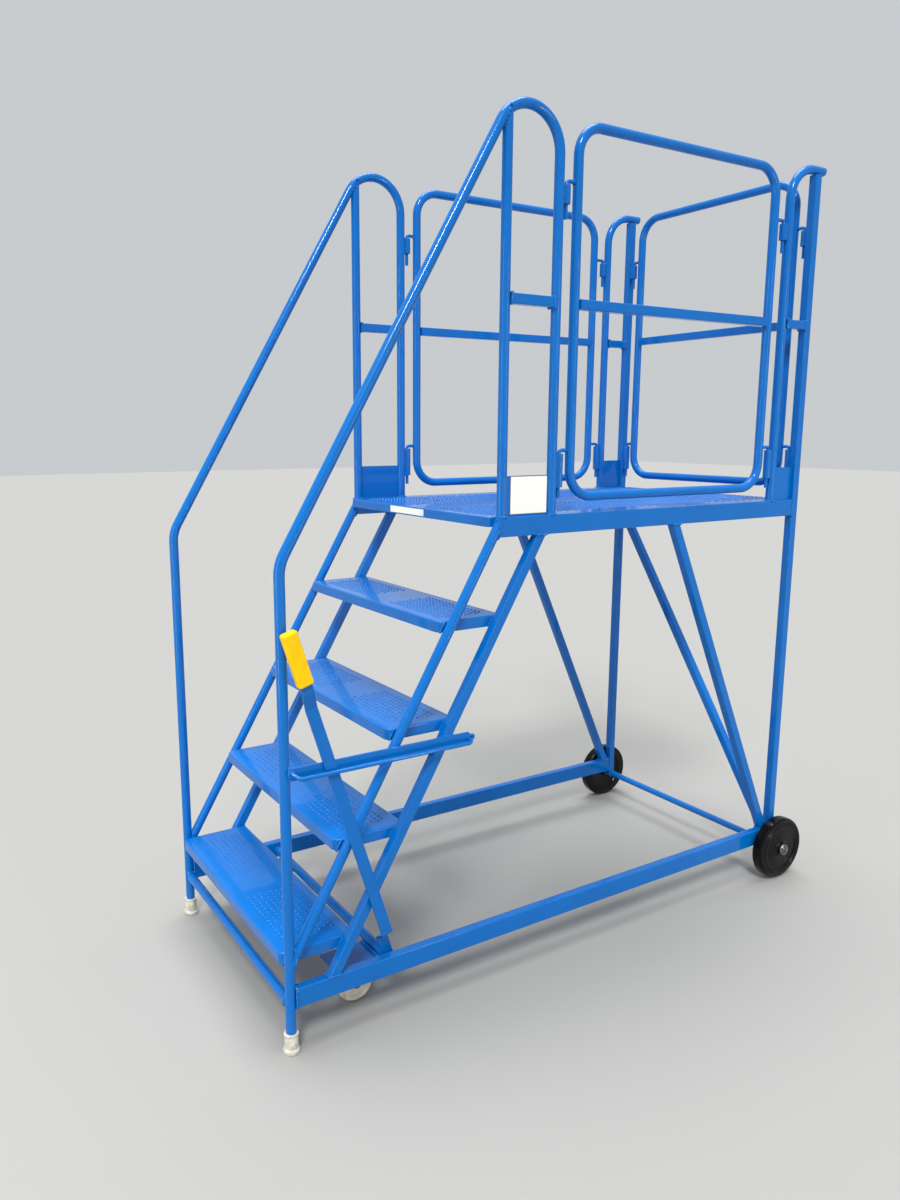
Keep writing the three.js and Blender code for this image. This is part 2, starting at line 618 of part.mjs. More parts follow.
function forkLeg(middleX) {
  const { trail, hubZ } = CASTOR;
  const shape = new THREE.Shape();
  shape.moveTo(-25, 110);
  shape.lineTo(-25, 100);
  shape.lineTo(trail - 13, hubZ - 4);
  shape.absarc(trail, hubZ, 13, Math.PI + 0.3, 2 * Math.PI - 0.1);
  shape.lineTo(27, 110);
  shape.closePath();
  const leg = new THREE.ExtrudeGeometry(shape, { depth: 3, bevelEnabled: false, curveSegments: 6 });
  leg.rotateX(Math.PI / 2);
  leg.rotateZ(Math.PI / 2);
  leg.translate(middleX - 1.5, 0, 0);
  return solidOf(leg);
}

baseRails();
feet();
handrails();
stringers();
treads();
platform();
sidePanels();
rearFrames();
braces();
sideGuards();
rearGuard();
rearWheels();
castorBar();
lever();
leverGuide();
castors();

export default stand;
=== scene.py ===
# %% [markdown]
# # A mobile ladder stand
# A welded stand of blue painted tube: four folded treads lead up to a platform with
# guards on three sides. It stands on two ferrules in front and two wheels behind, and
# a hand lever presses a pair of castors down so that it can be rolled away.
#
# The CAD model is the skeleton. It fixes every size and every joint, so this script
# reads its places from that model and only remakes what the eye sees.

# %% Load the fixed frame
import math
import random

import bmesh
import bpy
from mathutils import Matrix, Vector


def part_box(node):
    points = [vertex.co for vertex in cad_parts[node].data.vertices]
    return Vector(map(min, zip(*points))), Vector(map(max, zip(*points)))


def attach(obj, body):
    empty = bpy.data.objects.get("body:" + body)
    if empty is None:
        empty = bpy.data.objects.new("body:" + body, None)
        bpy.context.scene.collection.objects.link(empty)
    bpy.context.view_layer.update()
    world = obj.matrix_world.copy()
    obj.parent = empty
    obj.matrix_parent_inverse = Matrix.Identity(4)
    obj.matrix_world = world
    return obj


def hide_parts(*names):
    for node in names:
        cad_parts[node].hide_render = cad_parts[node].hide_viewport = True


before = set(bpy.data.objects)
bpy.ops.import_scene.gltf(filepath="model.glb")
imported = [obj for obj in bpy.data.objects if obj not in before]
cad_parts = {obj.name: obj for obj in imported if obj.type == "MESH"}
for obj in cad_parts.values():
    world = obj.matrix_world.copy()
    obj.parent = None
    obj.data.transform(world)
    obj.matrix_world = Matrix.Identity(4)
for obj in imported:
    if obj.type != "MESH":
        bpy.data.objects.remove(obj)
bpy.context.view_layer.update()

# %% [markdown]
# ## Sizes
# All lengths are in metres. Where the CAD model knows a place, it is asked for it, so
# that a tube drawn here always lies on the tube that the physics uses. Only sizes that
# a box can't tell, such as a bend radius, are written down again.

# %% Places read from the frame
GAP = 0.0003
TUBE_R = 0.0127
BOX = 0.0254
RAIL_W = 0.025
RAIL_H = 0.050


def low(node):
    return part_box(node)[0]


def high(node):
    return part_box(node)[1]


def middle(node):
    return (low(node) + high(node)) / 2


SIDE_X = middle("foot_right").x
FRONT_Y = middle("foot_right").y
POST_Y = middle("rear_brace").y
POST_TOP = high("rear_post_right").z
HOOP_Y = low("rear_midrail_right").y - GAP - TUBE_R
ARCH_Y = high("handrail_midrail_right").y + GAP + TUBE_R
FRONT_POST_Y = low("handrail_midrail_right").y - GAP - TUBE_R
DECK_Z = high("platform_deck").z
RAIL_TOP = high("base_rail_right").z
RAIL_Z = middle("base_rail_right").z
MIDRAIL_Z = middle("handrail_midrail_right").z
RISE = high("tread_2").z - high("tread_1").z
GOING = low("tread_2").y - low("tread_1").y
SLOPE = RISE / GOING
SIDES = {"left": -1, "right": 1}
PLANES = {"left": -SIDE_X, "right": SIDE_X}
print("deck", round(DECK_Z, 3), "slope", round(SLOPE, 3), "post", round(POST_TOP, 3))

# %% The handrail's line
BEND_R = 0.095
SLOPE_POINT_Y = FRONT_Y + 0.278
SLOPE_POINT_Z = 1.650
ELBOW_Z = SLOPE_POINT_Z - (SLOPE_POINT_Y - FRONT_Y) * SLOPE
PEAK_Z = SLOPE_POINT_Z + (ARCH_Y - SLOPE_POINT_Y) * SLOPE
HOOP_TOP = PEAK_Z - BEND_R * math.tan((math.pi / 2 + math.atan(SLOPE)) / 2) + BEND_R
print("elbow", round(ELBOW_Z, 3), "arch top", round(HOOP_TOP + TUBE_R, 3))

# %% [markdown]
# ## Finishes
# Four effects come back in nearly every finish, so each is a node group with its own
# inputs: a fine skin that bends the light, soft patches where the surface was handled,
# dust that gathers near the floor, and dust that settles on what faces up. A group only
# hands out a mask or a normal. The shader stays in the material, where a plain number
# such as the coat's roughness can be set on its own socket.

# %% Node helpers
def feed(tree, socket, value):
    """A number or colour is set on the socket; another socket is linked to it."""
    if isinstance(value, bpy.types.NodeSocket):
        tree.links.new(value, socket)
    else:
        socket.default_value = value


def node(tree, kind, settings=None, values=None):
    made = tree.nodes.new(kind)
    for name, value in (settings or {}).items():
        setattr(made, name, value)
    for name, value in (values or {}).items():
        feed(tree, made.inputs[name], value)
    return made


def group_tree(name, inputs, output, output_type="NodeSocketFloat"):
    tree = bpy.data.node_groups.new(name, "ShaderNodeTree")
    for label, value in inputs.items():
        socket = tree.interface.new_socket(name=label, in_out="INPUT", socket_type="NodeSocketFloat")
        socket.default_value = value
    tree.interface.new_socket(name=output, in_out="OUTPUT", socket_type=output_type)
    return tree, node(tree, "NodeGroupInput").outputs, node(tree, "NodeGroupOutput").inputs[output]


def object_noise(tree, scale, detail, roughness=0.55):
    place = node(tree, "ShaderNodeTexCoord").outputs["Object"]
    return node(tree, "ShaderNodeTexNoise", values={
        "Vector": place, "Scale": scale, "Detail": detail, "Roughness": roughness}).outputs["Fac"]


def math_node(tree, operation, first, second):
    made = node(tree, "ShaderNodeMath", {"operation": operation, "use_clamp": True})
    feed(tree, made.inputs[0], first)
    feed(tree, made.inputs[1], second)
    return made.outputs[0]


# %% Fine skin: orange peel in paint, grain in a moulding
def fine_skin():
    inputs = {"Scale": 400.0, "Height": 0.0001, "Strength": 0.3}
    tree, given, out = group_tree("fine_skin", inputs, "Normal", "NodeSocketVector")
    bump = node(tree, "ShaderNodeBump", values={
        "Height": object_noise(tree, given["Scale"], 2.0),
        "Distance": given["Height"], "Strength": given["Strength"]})
    feed(tree, out, bump.outputs["Normal"])
    return tree


# %% Patches: where hands, boots and cloths have been
def patches():
    tree, given, out = group_tree("patches", {"Scale": 12.0, "Amount": 1.0}, "Mask")
    noise = object_noise(tree, given["Scale"], 5.0, 0.62)
    limits = {"Value": noise, "From Min": 0.42, "From Max": 0.68}
    spread = node(tree, "ShaderNodeMapRange", values=limits)
    feed(tree, out, math_node(tree, "MULTIPLY", spread.outputs["Result"], given["Amount"]))
    return tree


# %% Floor dust: strongest at the floor, gone at the given height
def floor_dust():
    tree, given, out = group_tree("floor_dust", {"Reach": 0.3, "Amount": 0.5}, "Mask")
    place = node(tree, "ShaderNodeTexCoord").outputs["Object"]
    height = node(tree, "ShaderNodeSeparateXYZ", values={"Vector": place}).outputs["Z"]
    fade = node(tree, "ShaderNodeMapRange", values={
        "Value": height, "From Min": 0.0, "From Max": given["Reach"], "To Min": 1.0, "To Max": 0.0})
    broken = math_node(tree, "MULTIPLY", fade.outputs["Result"], object_noise(tree, 60.0, 6.0))
    feed(tree, out, math_node(tree, "MULTIPLY", broken, given["Amount"]))
    return tree


# %% Settled dust: on faces that look up
def settled_dust():
    tree, given, out = group_tree("settled_dust", {"Scale": 25.0, "Amount": 0.3}, "Mask")
    facing = node(tree, "ShaderNodeNewGeometry").outputs["Normal"]
    lift = node(tree, "ShaderNodeSeparateXYZ", values={"Vector": facing}).outputs["Z"]
    upward = math_node(tree, "POWER", math_node(tree, "MAXIMUM", lift, 0.0), 3.0)
    broken = math_node(tree, "MULTIPLY", upward, object_noise(tree, given["Scale"], 4.0))
    feed(tree, out, math_node(tree, "MULTIPLY", broken, given["Amount"]))
    return tree


GROUPS = {"skin": fine_skin(), "patches": patches(), "floor": floor_dust(), "settled": settled_dust()}
print("shader groups", sorted(GROUPS))

# %% [markdown]
# ## One recipe, ten finishes
# Paint, rubber, nylon, zinc and the rest are layered the same way: a base colour, a
# second tone in soft patches, then dust, while the patches also make the surface a
# little rougher. What differs is the numbers. The bare metal of zinc and the clear
# gloss of the paint come from Metallic and Coat, set on the shader itself.

# %% The recipe
def placed(tree, group, **values):
    return node(tree, "ShaderNodeGroup", {"node_tree": GROUPS[group]}, values).outputs[0]


def layered(tree, under, over, mask):
    mix = node(tree, "ShaderNodeMix", {"data_type": "RGBA"})
    for index, value in ((0, mask), (6, under), (7, over)):
        feed(tree, mix.inputs[index], value)
    return mix.outputs[2]


def finish(name, base, second, rough, patch, skin, dust, shader=None, dust_colour=(0.42, 0.39, 0.34)):
    material = bpy.data.materials.new(name)
    material.use_nodes = True
    material.diffuse_color = (*base, 1.0)
    tree = material.node_tree
    surface = tree.nodes["Principled BSDF"]
    worn = placed(tree, "patches", Scale=patch[0], Amount=patch[1])
    low_dust = placed(tree, "floor", Reach=dust[0], Amount=dust[1])
    top_dust = placed(tree, "settled", Amount=dust[2])
    colour = layered(tree, (*base, 1.0), (*second, 1.0), worn)
    colour = layered(tree, colour, (*dust_colour, 1.0), math_node(tree, "MAXIMUM", low_dust, top_dust))
    roughness = node(tree, "ShaderNodeMapRange", values={
        "Value": math_node(tree, "ADD", worn, low_dust), "To Min": rough[0], "To Max": rough[1]})
    relief = placed(tree, "skin", Scale=skin[0], Height=skin[1], Strength=skin[2])
    values = {"Base Color": colour, "Roughness": roughness.outputs["Result"], "Normal": relief}
    for socket, value in (values | (shader or {})).items():
        feed(tree, surface.inputs[socket], value)
    return material


# %% The ten finishes
# base, second tone, roughness from-to, patches (scale, amount), skin (scale, height,
# strength), dust (reach, low, settled), then sockets of the shader and the dust's colour
RECIPES = {
    "blue_paint": (
        (0.0, 0.128, 0.46), (0.0, 0.1, 0.37), (0.22, 0.34), (9.0, 0.45),
        (330.0, 0.00014, 0.18), (0.12, 0.1, 0.02),
        {"Coat Weight": 0.4, "Coat Roughness": 0.03, "Specular IOR Level": 0.1}),
    "yellow_grip": (
        (0.95, 0.54, 0.0), (0.8, 0.4, 0.0), (0.36, 0.55), (45.0, 0.5),
        (900.0, 0.0001, 0.25), (0.1, 0.0, 0.0), {"Specular IOR Level": 0.15}),
    "black_rubber": (
        (0.001, 0.001, 0.001), (0.004, 0.004, 0.003), (0.2, 0.42), (30.0, 0.5),
        (700.0, 0.0001, 0.15), (0.03, 0.08, 0.0), {"Specular IOR Level": 0.18}),
    "black_plastic": (
        (0.001, 0.001, 0.001), (0.004, 0.004, 0.004), (0.16, 0.34), (35.0, 0.5),
        (900.0, 0.0001, 0.1), (0.03, 0.05, 0.0), {"Specular IOR Level": 0.2}),
    "grey_ferrule": (
        (0.7, 0.68, 0.6), (0.4, 0.375, 0.32), (0.45, 0.75), (95.0, 0.9),
        (800.0, 0.0002, 0.4), (0.06, 0.7, 0.1), {"Subsurface Weight": 0.05}, (0.2, 0.18, 0.15)),
    "white_nylon": (
        (0.82, 0.78, 0.68), (0.6, 0.55, 0.43), (0.3, 0.55), (60.0, 0.8),
        (500.0, 0.0002, 0.3), (0.12, 0.7, 0.1), {"Subsurface Weight": 0.1}, (0.2, 0.17, 0.13)),
    "zinc_steel": (
        (0.42, 0.4, 0.37), (0.16, 0.12, 0.085), (0.28, 0.6), (70.0, 0.9),
        (600.0, 0.0002, 0.3), (0.1, 0.4, 0.1), {"Metallic": 0.9}, (0.16, 0.13, 0.1)),
    "bright_zinc": (
        (0.2, 0.195, 0.19), (0.08, 0.075, 0.07), (0.16, 0.4), (110.0, 0.8),
        (600.0, 0.0001, 0.25), (0.1, 0.1, 0.05), {"Metallic": 1.0}),
    "white_vinyl": (
        (0.88, 0.88, 0.79), (0.8, 0.79, 0.68), (0.22, 0.4), (18.0, 0.5),
        (250.0, 0.0001, 0.2), (0.1, 0.0, 0.02), {"Coat Weight": 0.3, "Coat Roughness": 0.1}),
    "label_edge": (
        (0.03, 0.05, 0.09), (0.06, 0.08, 0.12), (0.3, 0.5), (40.0, 0.5),
        (250.0, 0.0001, 0.2), (0.1, 0.0, 0.02)),
}
FINISHES = {name: finish(name, *recipe) for name, recipe in RECIPES.items()}
print("finishes", len(FINISHES))

# %% [markdown]
# ## Tools of the trade
# A tube bender, a lathe, a guillotine and a file: four small helpers stand for them.
# `swept` pushes a section along a straight run and spins it round each bend, just as a
# bender does, so bends are true arcs. `turned` spins a profile. `cut_off` slices a bar
# with a plane and caps the cut. `soften` breaks the sharp edges, because no painted
# edge is ever razor sharp, and the thin highlight there is what makes metal look real.

# %% Sections: what is pushed through the bender
def rounded(mesh, geom, offset, segments, affect="EDGES", **more):
    return bmesh.ops.bevel(mesh, geom=geom, affect=affect, offset=offset, segments=segments,
                           profile=0.5, material=-1, **more)


def round_section(radius, sides=28):
    def draw(mesh, place):
        made = bmesh.ops.create_circle(mesh, segments=sides, radius=radius, matrix=place)
        return list({edge for vert in made["verts"] for edge in vert.link_edges})
    return draw


def box_section(width, height, corner, segments=3):
    def draw(mesh, place):
        shape = place @ Matrix.Diagonal((width, height, 1, 1))
        made = bmesh.ops.create_grid(mesh, x_segments=1, y_segments=1, size=0.5, matrix=shape)
        cut = rounded(mesh, made["verts"], corner, segments, "VERTICES")
        face = cut["verts"][0].link_faces[0]
        ring = list(face.edges)
        bmesh.ops.delete(mesh, geom=[face], context="FACES_ONLY")
        return ring
    return draw


# %% The bender
BEND_STEP = 8  # degrees of bend to one ring of faces
MERGE_DIST = 1e-5
EDGE = bmesh.types.BMEdge
VERT = bmesh.types.BMVert


def only(kind, parts):
    return [part for part in parts if isinstance(part, kind)]


def pushed(mesh, ring, step):
    made = bmesh.ops.extrude_edge_only(mesh, edges=ring)["geom"]
    fresh = only(VERT, made)
    bmesh.ops.translate(mesh, verts=fresh, vec=step)
    fresh = set(fresh)
    return [edge for edge in only(EDGE, made) if fresh.issuperset(edge.verts)]


def swept(mesh, section, corners, bend_radius=0.0, across=(1, 0, 0), closed=False):
    points = [Vector(point) for point in corners]
    along = (points[1] - points[0]).normalized()
    side = Vector(across)
    side = (side - along * side.dot(along)).normalized()
    place = Matrix((side, along.cross(side), along)).transposed().to_4x4()
    place.translation = points[0]
    first = ring = section(mesh, place)
    here = points[0]
    for before, corner, after in zip(points, points[1:], points[2:]):
        into = (corner - before).normalized()
        out = (after - corner).normalized()
        angle = into.angle(out)
        setback = bend_radius * math.tan(angle / 2)
        start = corner - into * setback
        axis = into.cross(out).normalized()
        ring = pushed(mesh, ring, start - here)
        parts = ring + list({vert for edge in ring for vert in edge.verts})
        steps = max(3, math.ceil(math.degrees(angle) / BEND_STEP))
        centre = start + axis.cross(into) * bend_radius
        bent = bmesh.ops.spin(mesh, geom=parts, cent=centre, axis=axis, angle=angle, steps=steps,
                              use_duplicate=False)
        ring = only(EDGE, bent["geom_last"])
        here = corner + out * setback
    ring = pushed(mesh, ring, points[-1] - here)
    if closed:
        rims = {vert for edge in first + ring for vert in edge.verts}
        bmesh.ops.remove_doubles(mesh, verts=list(rims), dist=MERGE_DIST)
    else:
        bmesh.ops.contextual_create(mesh, geom=first)
        bmesh.ops.contextual_create(mesh, geom=ring)


# %% The lathe, the guillotine and the file
def turned(mesh, profile, centre, axis, steps=48, closed=False):
    axis = Vector(axis).normalized()
    out = axis.orthogonal().normalized()
    verts = [mesh.verts.new(Vector(centre) + out * radius + axis * along) for radius, along in profile]
    pairs = list(zip(verts, verts[1:]))
    if closed:
        pairs.append((verts[-1], verts[0]))
    edges = [mesh.edges.new(pair) for pair in pairs]
    bmesh.ops.spin(mesh, geom=verts + edges, cent=centre, axis=axis, angle=2 * math.pi,
                   steps=steps, use_merge=True, use_duplicate=False)
    poles = [vert for vert in mesh.verts if (vert.co - Vector(centre)).cross(axis).length < 1e-6]
    bmesh.ops.remove_doubles(mesh, verts=poles, dist=1e-6)


def cut_off(mesh, point, normal):
    whole = mesh.verts[:] + mesh.edges[:] + mesh.faces[:]
    cut = bmesh.ops.bisect_plane(mesh, geom=whole, plane_co=point, plane_no=normal, clear_outer=True)
    bmesh.ops.contextual_create(mesh, geom=only(EDGE, cut["geom_cut"]))


def soften(mesh, offset, segments=2, angle=0.6):
    bmesh.ops.recalc_face_normals(mesh, faces=mesh.faces)
    sharp = [edge for edge in mesh.edges
             if len(edge.link_faces) == 2 and edge.calc_face_angle(0.0) > angle]
    rounded(mesh, sharp, offset, segments, clamp_overlap=True)


def block(mesh, corner_a, corner_b, edge=0.001):
    part = bmesh.new()
    size = Vector(corner_b) - Vector(corner_a)
    place = Matrix.Translation((Vector(corner_a) + Vector(corner_b)) / 2)
    bmesh.ops.create_cube(part, size=1, matrix=place @ Matrix.Diagonal((*map(abs, size), 1)))
    soften(part, edge)
    poured(mesh, part)


def poured(mesh, part):
    bmesh.ops.recalc_face_normals(part, faces=part.faces)
    spare = bpy.data.meshes.new("spare")
    part.to_mesh(spare)
    part.free()
    mesh.from_mesh(spare)
    bpy.data.meshes.remove(spare)


# %% Handing a finished mesh over
def in_scene(name, data):
    thing = bpy.data.objects.new(name, data)
    bpy.context.scene.collection.objects.link(thing)
    return thing


def made(name, mesh, stands_for=(), surface="blue_paint", body="frame", sharp=40):
    bmesh.ops.recalc_face_normals(mesh, faces=mesh.faces)
    data = bpy.data.meshes.new(name)
    mesh.to_mesh(data)
    mesh.free()
    data.polygons.foreach_set("use_smooth", [True] * len(data.polygons))
    data.set_sharp_from_angle(angle=math.radians(sharp))
    data.materials.append(FINISHES[surface])
    piece = in_scene(name, data)
    flat_faces = piece.modifiers.new("flat_faces", "WEIGHTED_NORMAL")
    flat_faces.keep_sharp = True
    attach(piece, body)
    if stands_for:
        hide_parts(*stands_for)


# %% [markdown]
# ## The base
# Two rectangular rails run from the front legs back to the rear posts, and a round tube
# ties the two legs together under the first tread. Stock tube has rounded corners, so
# the section is drawn with them and simply pushed along.

# %% Base rails and the front cross tube
def cross_bar(mesh, section, reach, y, z):
    """A bar from side to side, reaching equally far left and right."""
    swept(mesh, section, [(-reach, y, z), (reach, y, z)], across=(0, 1, 0))


rail_section = box_section(RAIL_W, RAIL_H, 0.003)
square_section = box_section(BOX, BOX, 0.0028)
tube_section = round_section(TUBE_R)
rail_front = FRONT_Y + TUBE_R - 0.002
post_face = POST_Y - BOX / 2
for side, x in PLANES.items():
    mesh = bmesh.new()
    swept(mesh, rail_section, [(x, rail_front, RAIL_Z), (x, post_face, RAIL_Z)])
    made(f"base_rail_tube_{side}", mesh, [f"base_rail_{side}"])

CROSS_Z = middle("front_cross_tube").z
mesh = bmesh.new()
cross_bar(mesh, tube_section, SIDE_X, FRONT_Y, CROSS_Z)
made("front_tie_tube", mesh, ["front_cross_tube"])
print("base rails", round(post_face - rail_front, 3), "m long")

# %% [markdown]
# ## Handrails
# Each handrail is one length of tube. It starts in the ferrule as the front leg, turns
# at the elbow to follow the stairs, goes over the arch and comes down on the platform.
# A bent curve object could do it, but the bender gives an arc of the real radius. Two
# short sleeves are welded behind the arch's leg, to take the side guard's pins.

# %% Sleeves for the guards' pins
SLEEVE_R = 0.011
SLEEVE_BORE = 0.0065
SLEEVE_SINK = 0.0012
SLEEVE_HEIGHTS = [(2.005, 2.050, 1.970), (1.318, 1.403, 1.290)]
ARCH_SLEEVE_Y = ARCH_Y + TUBE_R + SLEEVE_R - SLEEVE_SINK
HOOP_SLEEVE_Y = HOOP_Y - TUBE_R - SLEEVE_R + SLEEVE_SINK
POST_SLEEVE_X = SIDE_X - BOX / 2 - SLEEVE_R + SLEEVE_SINK / 2


def sleeves(mesh, x, y):
    edge = 0.0008
    for bottom, top, _ in SLEEVE_HEIGHTS:
        profile = [
            (SLEEVE_BORE, bottom), (SLEEVE_R - edge, bottom), (SLEEVE_R, bottom + edge),
            (SLEEVE_R, top - edge), (SLEEVE_R - edge, top), (SLEEVE_BORE, top),
        ]
        part = bmesh.new()
        turned(part, profile, (x, y, 0), (0, 0, 1), 28, closed=True)
        poured(mesh, part)


# %% Handrails, front posts and rear hoops
HOOP_TIP_Y = high("rear_hoop_right").y
for side, x in PLANES.items():
    mesh = bmesh.new()
    swept(mesh, tube_section, [
        (x, FRONT_Y, 0.009), (x, FRONT_Y, ELBOW_Z), (x, ARCH_Y, PEAK_Z), (x, ARCH_Y, DECK_Z - 0.002),
    ], BEND_R)
    sleeves(mesh, x, ARCH_SLEEVE_Y)
    made(f"handrail_tube_{side}", mesh, [f"handrail_{side}"])

    mesh = bmesh.new()
    post_top = high(f"front_post_{side}").z + TUBE_R / 2
    swept(mesh, tube_section, [(x, FRONT_POST_Y, DECK_Z - 0.002), (x, FRONT_POST_Y, post_top)])
    made(f"front_post_tube_{side}", mesh, [f"front_post_{side}"])

    mesh = bmesh.new()
    swept(mesh, tube_section, [
        (x, HOOP_Y, DECK_Z - 0.002), (x, HOOP_Y, HOOP_TOP), (x, HOOP_TIP_Y, HOOP_TOP),
    ], BEND_R)
    sleeves(mesh, x, HOOP_SLEEVE_Y)
    made(f"rear_hoop_tube_{side}", mesh, [f"rear_hoop_{side}"])
print("handrails and hoops, bends of", BEND_R, "m")

# %% [markdown]
# ## Stringers, posts and braces
# The stairs hang between a round stringer in front and a square one behind. Slanted
# bars are pushed too long and then cut with the flat plane that they are welded to,
# the way a saw cuts a mitre.

# %% Stringers
FRONT_STRINGER = (FRONT_Y + 0.375, 0.859)
REAR_STRINGER = (FRONT_Y + 0.422, 0.690)
BEAM_UNDER = DECK_Z - RAIL_H
BEAM_FRONT = FRONT_POST_Y - TUBE_R
OVERCUT = 0.06


def stringer_at(line, z):
    return line[0] + (z - line[1]) / SLOPE


def slanted(section, line, x, low_z, high_z):
    mesh = bmesh.new()
    ends = [(x, stringer_at(line, z), z) for z in (low_z - OVERCUT, high_z + OVERCUT)]
    swept(mesh, section, ends)
    return mesh


LEG_MEETS_Z = FRONT_STRINGER[1] + (FRONT_Y - FRONT_STRINGER[0]) * SLOPE
for side, x in PLANES.items():
    mesh = slanted(tube_section, FRONT_STRINGER, x, LEG_MEETS_Z, DECK_Z)
    cut_off(mesh, (x, FRONT_Y, 0), (0, -1, 0))
    cut_off(mesh, (x, BEAM_FRONT, 0), (0, 1, 0))
    made(f"front_stringer_tube_{side}", mesh, [f"front_stringer_{side}"])

    mesh = slanted(square_section, REAR_STRINGER, x, RAIL_TOP, BEAM_UNDER)
    cut_off(mesh, (x, 0, RAIL_TOP), (0, 0, -1))
    cut_off(mesh, (x, 0, BEAM_UNDER), (0, 0, 1))
    made(f"rear_stringer_tube_{side}", mesh, [f"rear_stringer_{side}"])
print("stringers rise", round(math.degrees(math.atan(SLOPE)), 1), "degrees")

# %% Rear posts
for side, x in PLANES.items():
    mesh = bmesh.new()
    swept(mesh, square_section, [(x, POST_Y, low("rear_post_right").z), (x, POST_Y, POST_TOP)])
    sleeves(mesh, math.copysign(POST_SLEEVE_X, x), POST_Y)
    made(f"rear_post_tube_{side}", mesh, [f"rear_post_{side}"])

# %% Side braces and the rear brace
SIDE_BRACE = ((FRONT_Y + 1.212, BEAM_UNDER), (FRONT_Y + 1.697, RAIL_TOP))
REAR_BRACE = (1.172, 0.138)
INNER_X = SIDE_X - BOX / 2


def stretched(start, end, extra):
    start, end = Vector(start), Vector(end)
    more = (end - start).normalized() * extra
    return [start - more, end + more]


(top_y, top_z), (foot_y, foot_z) = SIDE_BRACE
for side, x in PLANES.items():
    mesh = bmesh.new()
    swept(mesh, square_section, stretched((x, top_y, top_z), (x, foot_y, foot_z), OVERCUT))
    cut_off(mesh, (x, 0, BEAM_UNDER), (0, 0, 1))
    cut_off(mesh, (x, 0, RAIL_TOP), (0, 0, -1))
    made(f"side_brace_tube_{side}", mesh, [f"side_brace_{side}"])

mesh = bmesh.new()
ends = stretched((-INNER_X, POST_Y, REAR_BRACE[0]), (INNER_X, POST_Y, REAR_BRACE[1]), OVERCUT)
swept(mesh, square_section, ends, across=(0, 1, 0))
cut_off(mesh, (-INNER_X, 0, 0), (-1, 0, 0))
cut_off(mesh, (INNER_X, 0, 0), (1, 0, 0))
made("rear_brace_tube", mesh, ["rear_brace"])
print("braces", 3)

# %% [markdown]
# ## Treads and deck
# Each is a flat sheet whose four sides are folded down, with rounded outer corners, and
# its top is pressed with rows of raised studs in two fields with a smooth band between
# them. The pan is a cube that loses its underside, has its edges rounded, and is then
# given the sheet's thickness. A stud is a small low dome with a few dozen faces,
# because there are hundreds of them.

# %% A folded pan
FOLD_R = 0.004


def pan(mesh, corner_a, corner_b, sheet, corner):
    size = corner_b - corner_a
    place = Matrix.Translation((corner_a + corner_b) / 2) @ Matrix.Diagonal((*size, 1))
    bmesh.ops.create_cube(mesh, size=1, matrix=place)
    upright = [edge for edge in mesh.edges
               if abs(edge.verts[0].co.z - edge.verts[1].co.z) > size.z / 2]
    rounded(mesh, upright, corner, 8)
    under = [face for face in mesh.faces if face.normal.z < -0.9]
    bmesh.ops.delete(mesh, geom=under, context="FACES_ONLY")
    rim = [edge for edge in mesh.edges
           if not edge.is_boundary and all(abs(vert.co.z - corner_b.z) < 1e-6 for vert in edge.verts)]
    rounded(mesh, rim, FOLD_R, 4)
    bmesh.ops.recalc_face_normals(mesh, faces=mesh.faces)
    top = max(mesh.faces, key=lambda face: face.calc_area())
    if top.normal.z < 0:
        bmesh.ops.reverse_faces(mesh, faces=mesh.faces)
    bmesh.ops.solidify(mesh, geom=mesh.faces[:], thickness=sheet)


# %% Rows of studs
STUD_R = 0.0044
STUD_H = 0.0024
STUD_PITCH_X = 0.0170
STUD_PITCH_Y = 0.0155
SMOOTH_BAND = 0.070


def stud_rows(mesh, corner_a, corner_b, margin):
    """Each row is pressed in a mesh of its own, because an operator slows down as its mesh grows."""
    rows = int((corner_b.y - corner_a.y - 2 * margin) / STUD_PITCH_Y) + 1
    start = (corner_a.y + corner_b.y - (rows - 1) * STUD_PITCH_Y) / 2
    columns = int((corner_b.x - margin - SMOOTH_BAND) / STUD_PITCH_X)
    shape = Matrix.Diagonal((STUD_R, STUD_R * 0.85, STUD_H, 1))
    for row in range(rows):
        strip = bmesh.new()
        shift = STUD_PITCH_X / 2 * (row % 2)
        for column in range(columns):
            x = SMOOTH_BAND + shift + column * STUD_PITCH_X
            for sign in (-1, 1):
                at = Vector((sign * x, start + row * STUD_PITCH_Y, corner_b.z))
                bmesh.ops.create_uvsphere(strip, u_segments=8, v_segments=5, radius=1,
                                          matrix=Matrix.Translation(at) @ shape)
        poured(mesh, strip)
    return rows * columns * 2


# %% Treads and deck
studs = 0
for number in range(1, 5):
    mesh = bmesh.new()
    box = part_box(f"tread_{number}")
    pan(mesh, *box, 0.0025, 0.018)
    studs += stud_rows(mesh, *box, 0.028)
    made(f"tread_pan_{number}", mesh, [f"tread_{number}"])

mesh = bmesh.new()
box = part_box("platform_deck")
pan(mesh, *box, 0.003, 0.008)
studs += stud_rows(mesh, *box, 0.026)
made("platform_pan", mesh, ["platform_deck"])
print("studs", studs)

# %% [markdown]
# ## Platform frame
# Beams carry the deck's sides. Short square midrails and thin kick plates close the
# spaces between the uprights, so that no tool can roll off.

# %% Beams, midrails and kick plates
WELDED_IN = 0.0005


def straight(node_name, section, axis, body="frame"):
    """A straight bar along one axis, as long as its CAD node and a hair more for the welds."""
    corner_a, corner_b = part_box(node_name)
    centre = (corner_a + corner_b) / 2
    reach = Vector(axis) * ((corner_b - corner_a).dot(Vector(axis)) / 2 + WELDED_IN)
    mesh = bmesh.new()
    across = (0, 1, 0) if axis[0] else (1, 0, 0)
    swept(mesh, section, [centre - reach, centre + reach], across=across)
    made(f"{node_name}_tube", mesh, [node_name], body=body)


